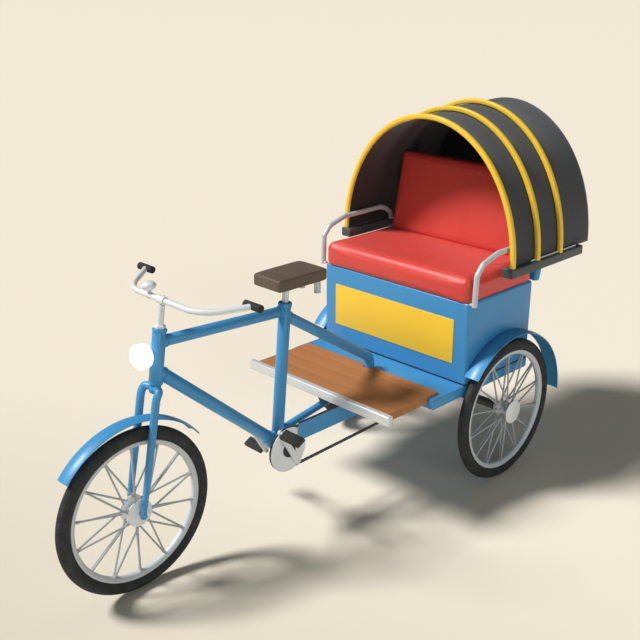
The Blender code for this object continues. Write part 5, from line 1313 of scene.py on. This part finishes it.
# the cloth hangs just inside the hoops and sinks a little between them; behind the last hoop it runs
# back to the rear edge and turns down into a flat rear curtain: one sheet of two parameters
def canopySheet():
    shrink = hoodSizes["hoopRadius"] + 0.0016
    turn = np.linspace(0, np.pi, 129)[:, None]
    stations = np.array([*layout["hoopPlaces"], hoodRear])
    bays = list(zip(stations[:-1], stations[1:]))
    y = np.concatenate([np.linspace(a, b, 21)[:-1] for a, b in bays] + [stations[-1:]])
    phase = np.concatenate([np.linspace(0, 1, 21)[:-1] for _ in bays] + [[1.0]])
    half, height = hoopSize(y)
    inward = shrink + hoodSizes["sag"] * np.sin(np.pi * phase) ** 2 * np.sin(turn) ** 0.5
    x = (half - inward) * np.cos(turn)
    z = hoodSizes["foot"] + (height - inward) * np.sin(turn)
    roof = np.stack([x, y + 0 * turn, z], -1).transpose(1, 0, 2)
    share = np.concatenate([[0.996, 0.985], np.linspace(0.96, 0.0, 33)])[:, None]
    fold = np.array([0.0012, 0.0025] + [0.003] * 33)[:, None]
    puff = 0.006 * np.sin(np.pi * share) ** 2 * np.sin(turn[:, 0])
    lastX, lastZ = roof[-1, :, 0], roof[-1, :, 2] - hoodSizes["foot"]
    curtain = [lastX * share, hoodRear + fold + 0 * lastX - puff, hoodSizes["foot"] + lastZ * share]
    return np.concatenate([roof, np.stack(curtain, -1)])


canopy = Form()
canopyGrid = canopySheet()
canopy.grid(canopyGrid)
cloths = [hoodBlack, hoodLining]
hood = piece("hoodCanopy", canopy, cloths, "carriage", ["hood_canopy"], sharp=80)
if hood.data.polygons[64].normal.z < 0:
    hood.data.flip_normals()
thick = hood.modifiers.new("cloth", "SOLIDIFY")
thick.thickness = hoodSizes["cloth"]
thick.offset = -1.0
thick.material_offset = 1
thick.material_offset_rim = 0


# Cushions

print("cushions")
cushionSizes = {
    "voxel": 0.0074,
    "pressure": 1.3,
    "cap": 0.0032,
    "shrink": 0.002,
    "sunk": 0.55,
    "frames": 20,
}


# a box blown up as cloth: remeshed, pressed outwards for 20 frames, each point kept within a cap of
# its rest place and inside the box; what lies below the box is pressed flat on its floor; then laid
def inflate(made, low, high, lay):
    sets = cushionSizes
    materials = list(made.data.materials)
    voxel = made.modifiers.new("voxels", "REMESH")
    voxel.mode = "VOXEL"
    voxel.voxel_size = sets["voxel"]
    graph = bpy.context.evaluated_depsgraph_get()
    dense = bpy.data.meshes.new_from_object(made.evaluated_get(graph))
    made.modifiers.clear()
    made.data = dense
    dense.materials.clear()
    for one in materials:
        dense.materials.append(one)
    dense.shade_smooth()
    rest = np.empty(len(dense.vertices) * 3)
    dense.vertices.foreach_get("co", rest)
    moved = rest = rest.reshape(-1, 3)
    cloth = made.modifiers.new("cloth", "CLOTH")
    cloth.settings.quality = 5
    cloth.settings.mass = 0.3
    cloth.settings.tension_stiffness = 22
    cloth.settings.compression_stiffness = 22
    cloth.settings.shear_stiffness = 12
    cloth.settings.bending_stiffness = 25
    cloth.settings.use_pressure = True
    cloth.settings.uniform_pressure_force = sets["pressure"]
    cloth.settings.effector_weights.gravity = 0.0
    cloth.collision_settings.use_collision = False
    scene = bpy.context.scene
    scene.frame_start, scene.frame_end = 1, sets["frames"] + 4
    cloth.point_cache.frame_start, cloth.point_cache.frame_end = 1, sets["frames"] + 4
    for number in range(1, sets["frames"] + 1):
        scene.frame_set(number)
    graph = bpy.context.evaluated_depsgraph_get()
    moved = np.empty(len(dense.vertices) * 3)
    made.evaluated_get(graph).data.vertices.foreach_get("co", moved)
    moved = moved.reshape(-1, 3)
    made.modifiers.clear()
    scene.frame_set(1)
    step = moved - rest
    far = np.linalg.norm(step, axis=1, keepdims=True)
    moved = rest + step * np.minimum(1, sets["cap"] / np.maximum(far, 1e-9))
    print("  swelled", made.name, len(moved), "points, up to", round(float(far.max()), 4))
    moved = lay(np.clip(moved, low, high))
    dense.vertices.foreach_set("co", moved.astype(np.float32).ravel())
    dense.update()
    smooth = made.modifiers.new("smooth", "SUBSURF")
    smooth.levels = smooth.render_levels = 1


# a rounded box sunk by a part of its corner radius, so that its foot rounds less; what the tail
# adds at the rear is pressed flat against the back cushion
def cushion(name, node, low, high, radius, lay, tail=0.0):
    low, high = np.array(low, float), np.array(high, float)
    shrink = cushionSizes["shrink"]
    form = Form()
    first = low + [shrink, shrink, -radius * cushionSizes["sunk"]]
    addBox(form, first, high - [shrink, shrink - tail, shrink], radius, 8)
    made = piece(name, form, redVinyl, "carriage", [node], sharp=80)
    inflate(made, low, high, lay)


def layFlat(points):
    return points


# the back cushion leans: turned back about its front foot, its underside kept level on the seat
def layLeaning(points):
    lean, foot, tall = layout["backLean"], backSizes["foot"], backSizes["height"]
    y = points[:, 1]
    level = y * math.tan(lean)
    z = level + points[:, 2] * (tall - level) / tall
    cos, sin = math.cos(lean), math.sin(lean)
    return np.stack([points[:, 0], foot[0] + y * cos + z * sin, foot[1] - y * sin + z * cos], -1)


low, high = (np.array(v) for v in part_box("seat_cushion"))
cushion("seatCushion", "seat_cushion", low + 0.0002, high - 0.0005, 0.040, layFlat, 0.034)
backSizes = {
    "halfWidth": 0.4040,
    "height": 0.4110,
    "deep": 0.1300,
    "foot": (row(0.1355), layout["seatTop"] + 0.0002),
}
backHigh = (backSizes["halfWidth"], backSizes["deep"], backSizes["height"])
cushion("backCushion", "back_cushion", (-backSizes["halfWidth"], 0.0, 0.0), backHigh, 0.022, layLeaning)


# Floor, light and camera

print("stage")
floorMesh = bpy.data.meshes.new("floor")
span = 400.0
floorCorners = [(-span, -span, 0), (span, -span, 0), (span, span, 0), (-span, span, 0)]
floorMesh.from_pydata(floorCorners, [], [(0, 1, 2, 3)])
floor = bpy.data.objects.new("floor", floorMesh)
bpy.context.scene.collection.objects.link(floor)
stageSizes = {
    "keyPower": 3.62,
    "keyAngle": math.radians(14),
    "keyWay": (0.58, 0.65, -1.0),
    "fillPower": 1.15,
    "fillAngle": math.radians(50),
    "fillWay": (-0.90, 0.35, -0.14),
    "sky": 0.095,
    "keyColour": (1.0, 1.0, 1.0),
    "fillColour": (0.80, 0.93, 1.0),
    "skyColour": (1.0, 0.96, 0.90, 1.0),
    # way and span of the floor's painted shade
    "floorShadeWay": (-0.25, 0.97, 0.0),
    "floorShadeFrom": -2.4,
    "floorShadeTo": 0.6,
    "eye": (2.8707, -2.8363, 2.3896),
    "aim": (0.8878, -0.8745, 1.3557),
    "lens": 54.10,
}
ground = Finish("paleFloor", tint(240, 230, 210), Roughness=0.9, Specular_IOR_Level=0.1)
# the floor colour carries painted shade: darker towards the front of the rickshaw, lighter behind it,
# standing in for the soft falloff of light round the vehicle
dot = {"operation": "DOT_PRODUCT"}
reachOut = ground.node("VectorMath", dot, i0=ground.place(), i1=stageSizes["floorShadeWay"])
reach = Signal(ground, reachOut.outputs["Value"])
paintedFalloff = ground.between(reach, stageSizes["floorShadeFrom"], stageSizes["floorShadeTo"])
ground.set(Base_Color=ground.blend(paintedFalloff, tint(219, 210, 190), tint(243, 233, 214)))
floorMesh.materials.append(ground.data)


def addSun(name, power, angle, way, colour):
    lamp = bpy.data.lights.new(name, "SUN")
    lamp.energy = power
    lamp.angle = angle
    lamp.color = colour
    holder = bpy.data.objects.new(name, lamp)
    bpy.context.scene.collection.objects.link(holder)
    holder.rotation_euler = Vector(way).to_track_quat("-Z", "Y").to_euler()


for name in ("key", "fill"):
    power, angle = stageSizes[name + "Power"], stageSizes[name + "Angle"]
    addSun(name, power, angle, stageSizes[name + "Way"], stageSizes[name + "Colour"])

world = bpy.data.worlds.new("studio")
bpy.context.scene.world = world
world.use_nodes = True
sky = world.node_tree.nodes["Background"]
sky.inputs["Color"].default_value = stageSizes["skyColour"]
sky.inputs["Strength"].default_value = stageSizes["sky"]

camera = bpy.data.cameras.new("camera")
camera.lens = stageSizes["lens"]
camera.sensor_width = 36.0
cameraObject = bpy.data.objects.new("camera", camera)
bpy.context.scene.collection.objects.link(cameraObject)
eye, aim = Vector(stageSizes["eye"]), Vector(stageSizes["aim"])
cameraObject.location = eye
cameraObject.rotation_euler = (aim - eye).to_track_quat("-Z", "Y").to_euler()
bpy.context.scene.camera = cameraObject
bpy.context.scene.view_settings.view_transform = "Standard"
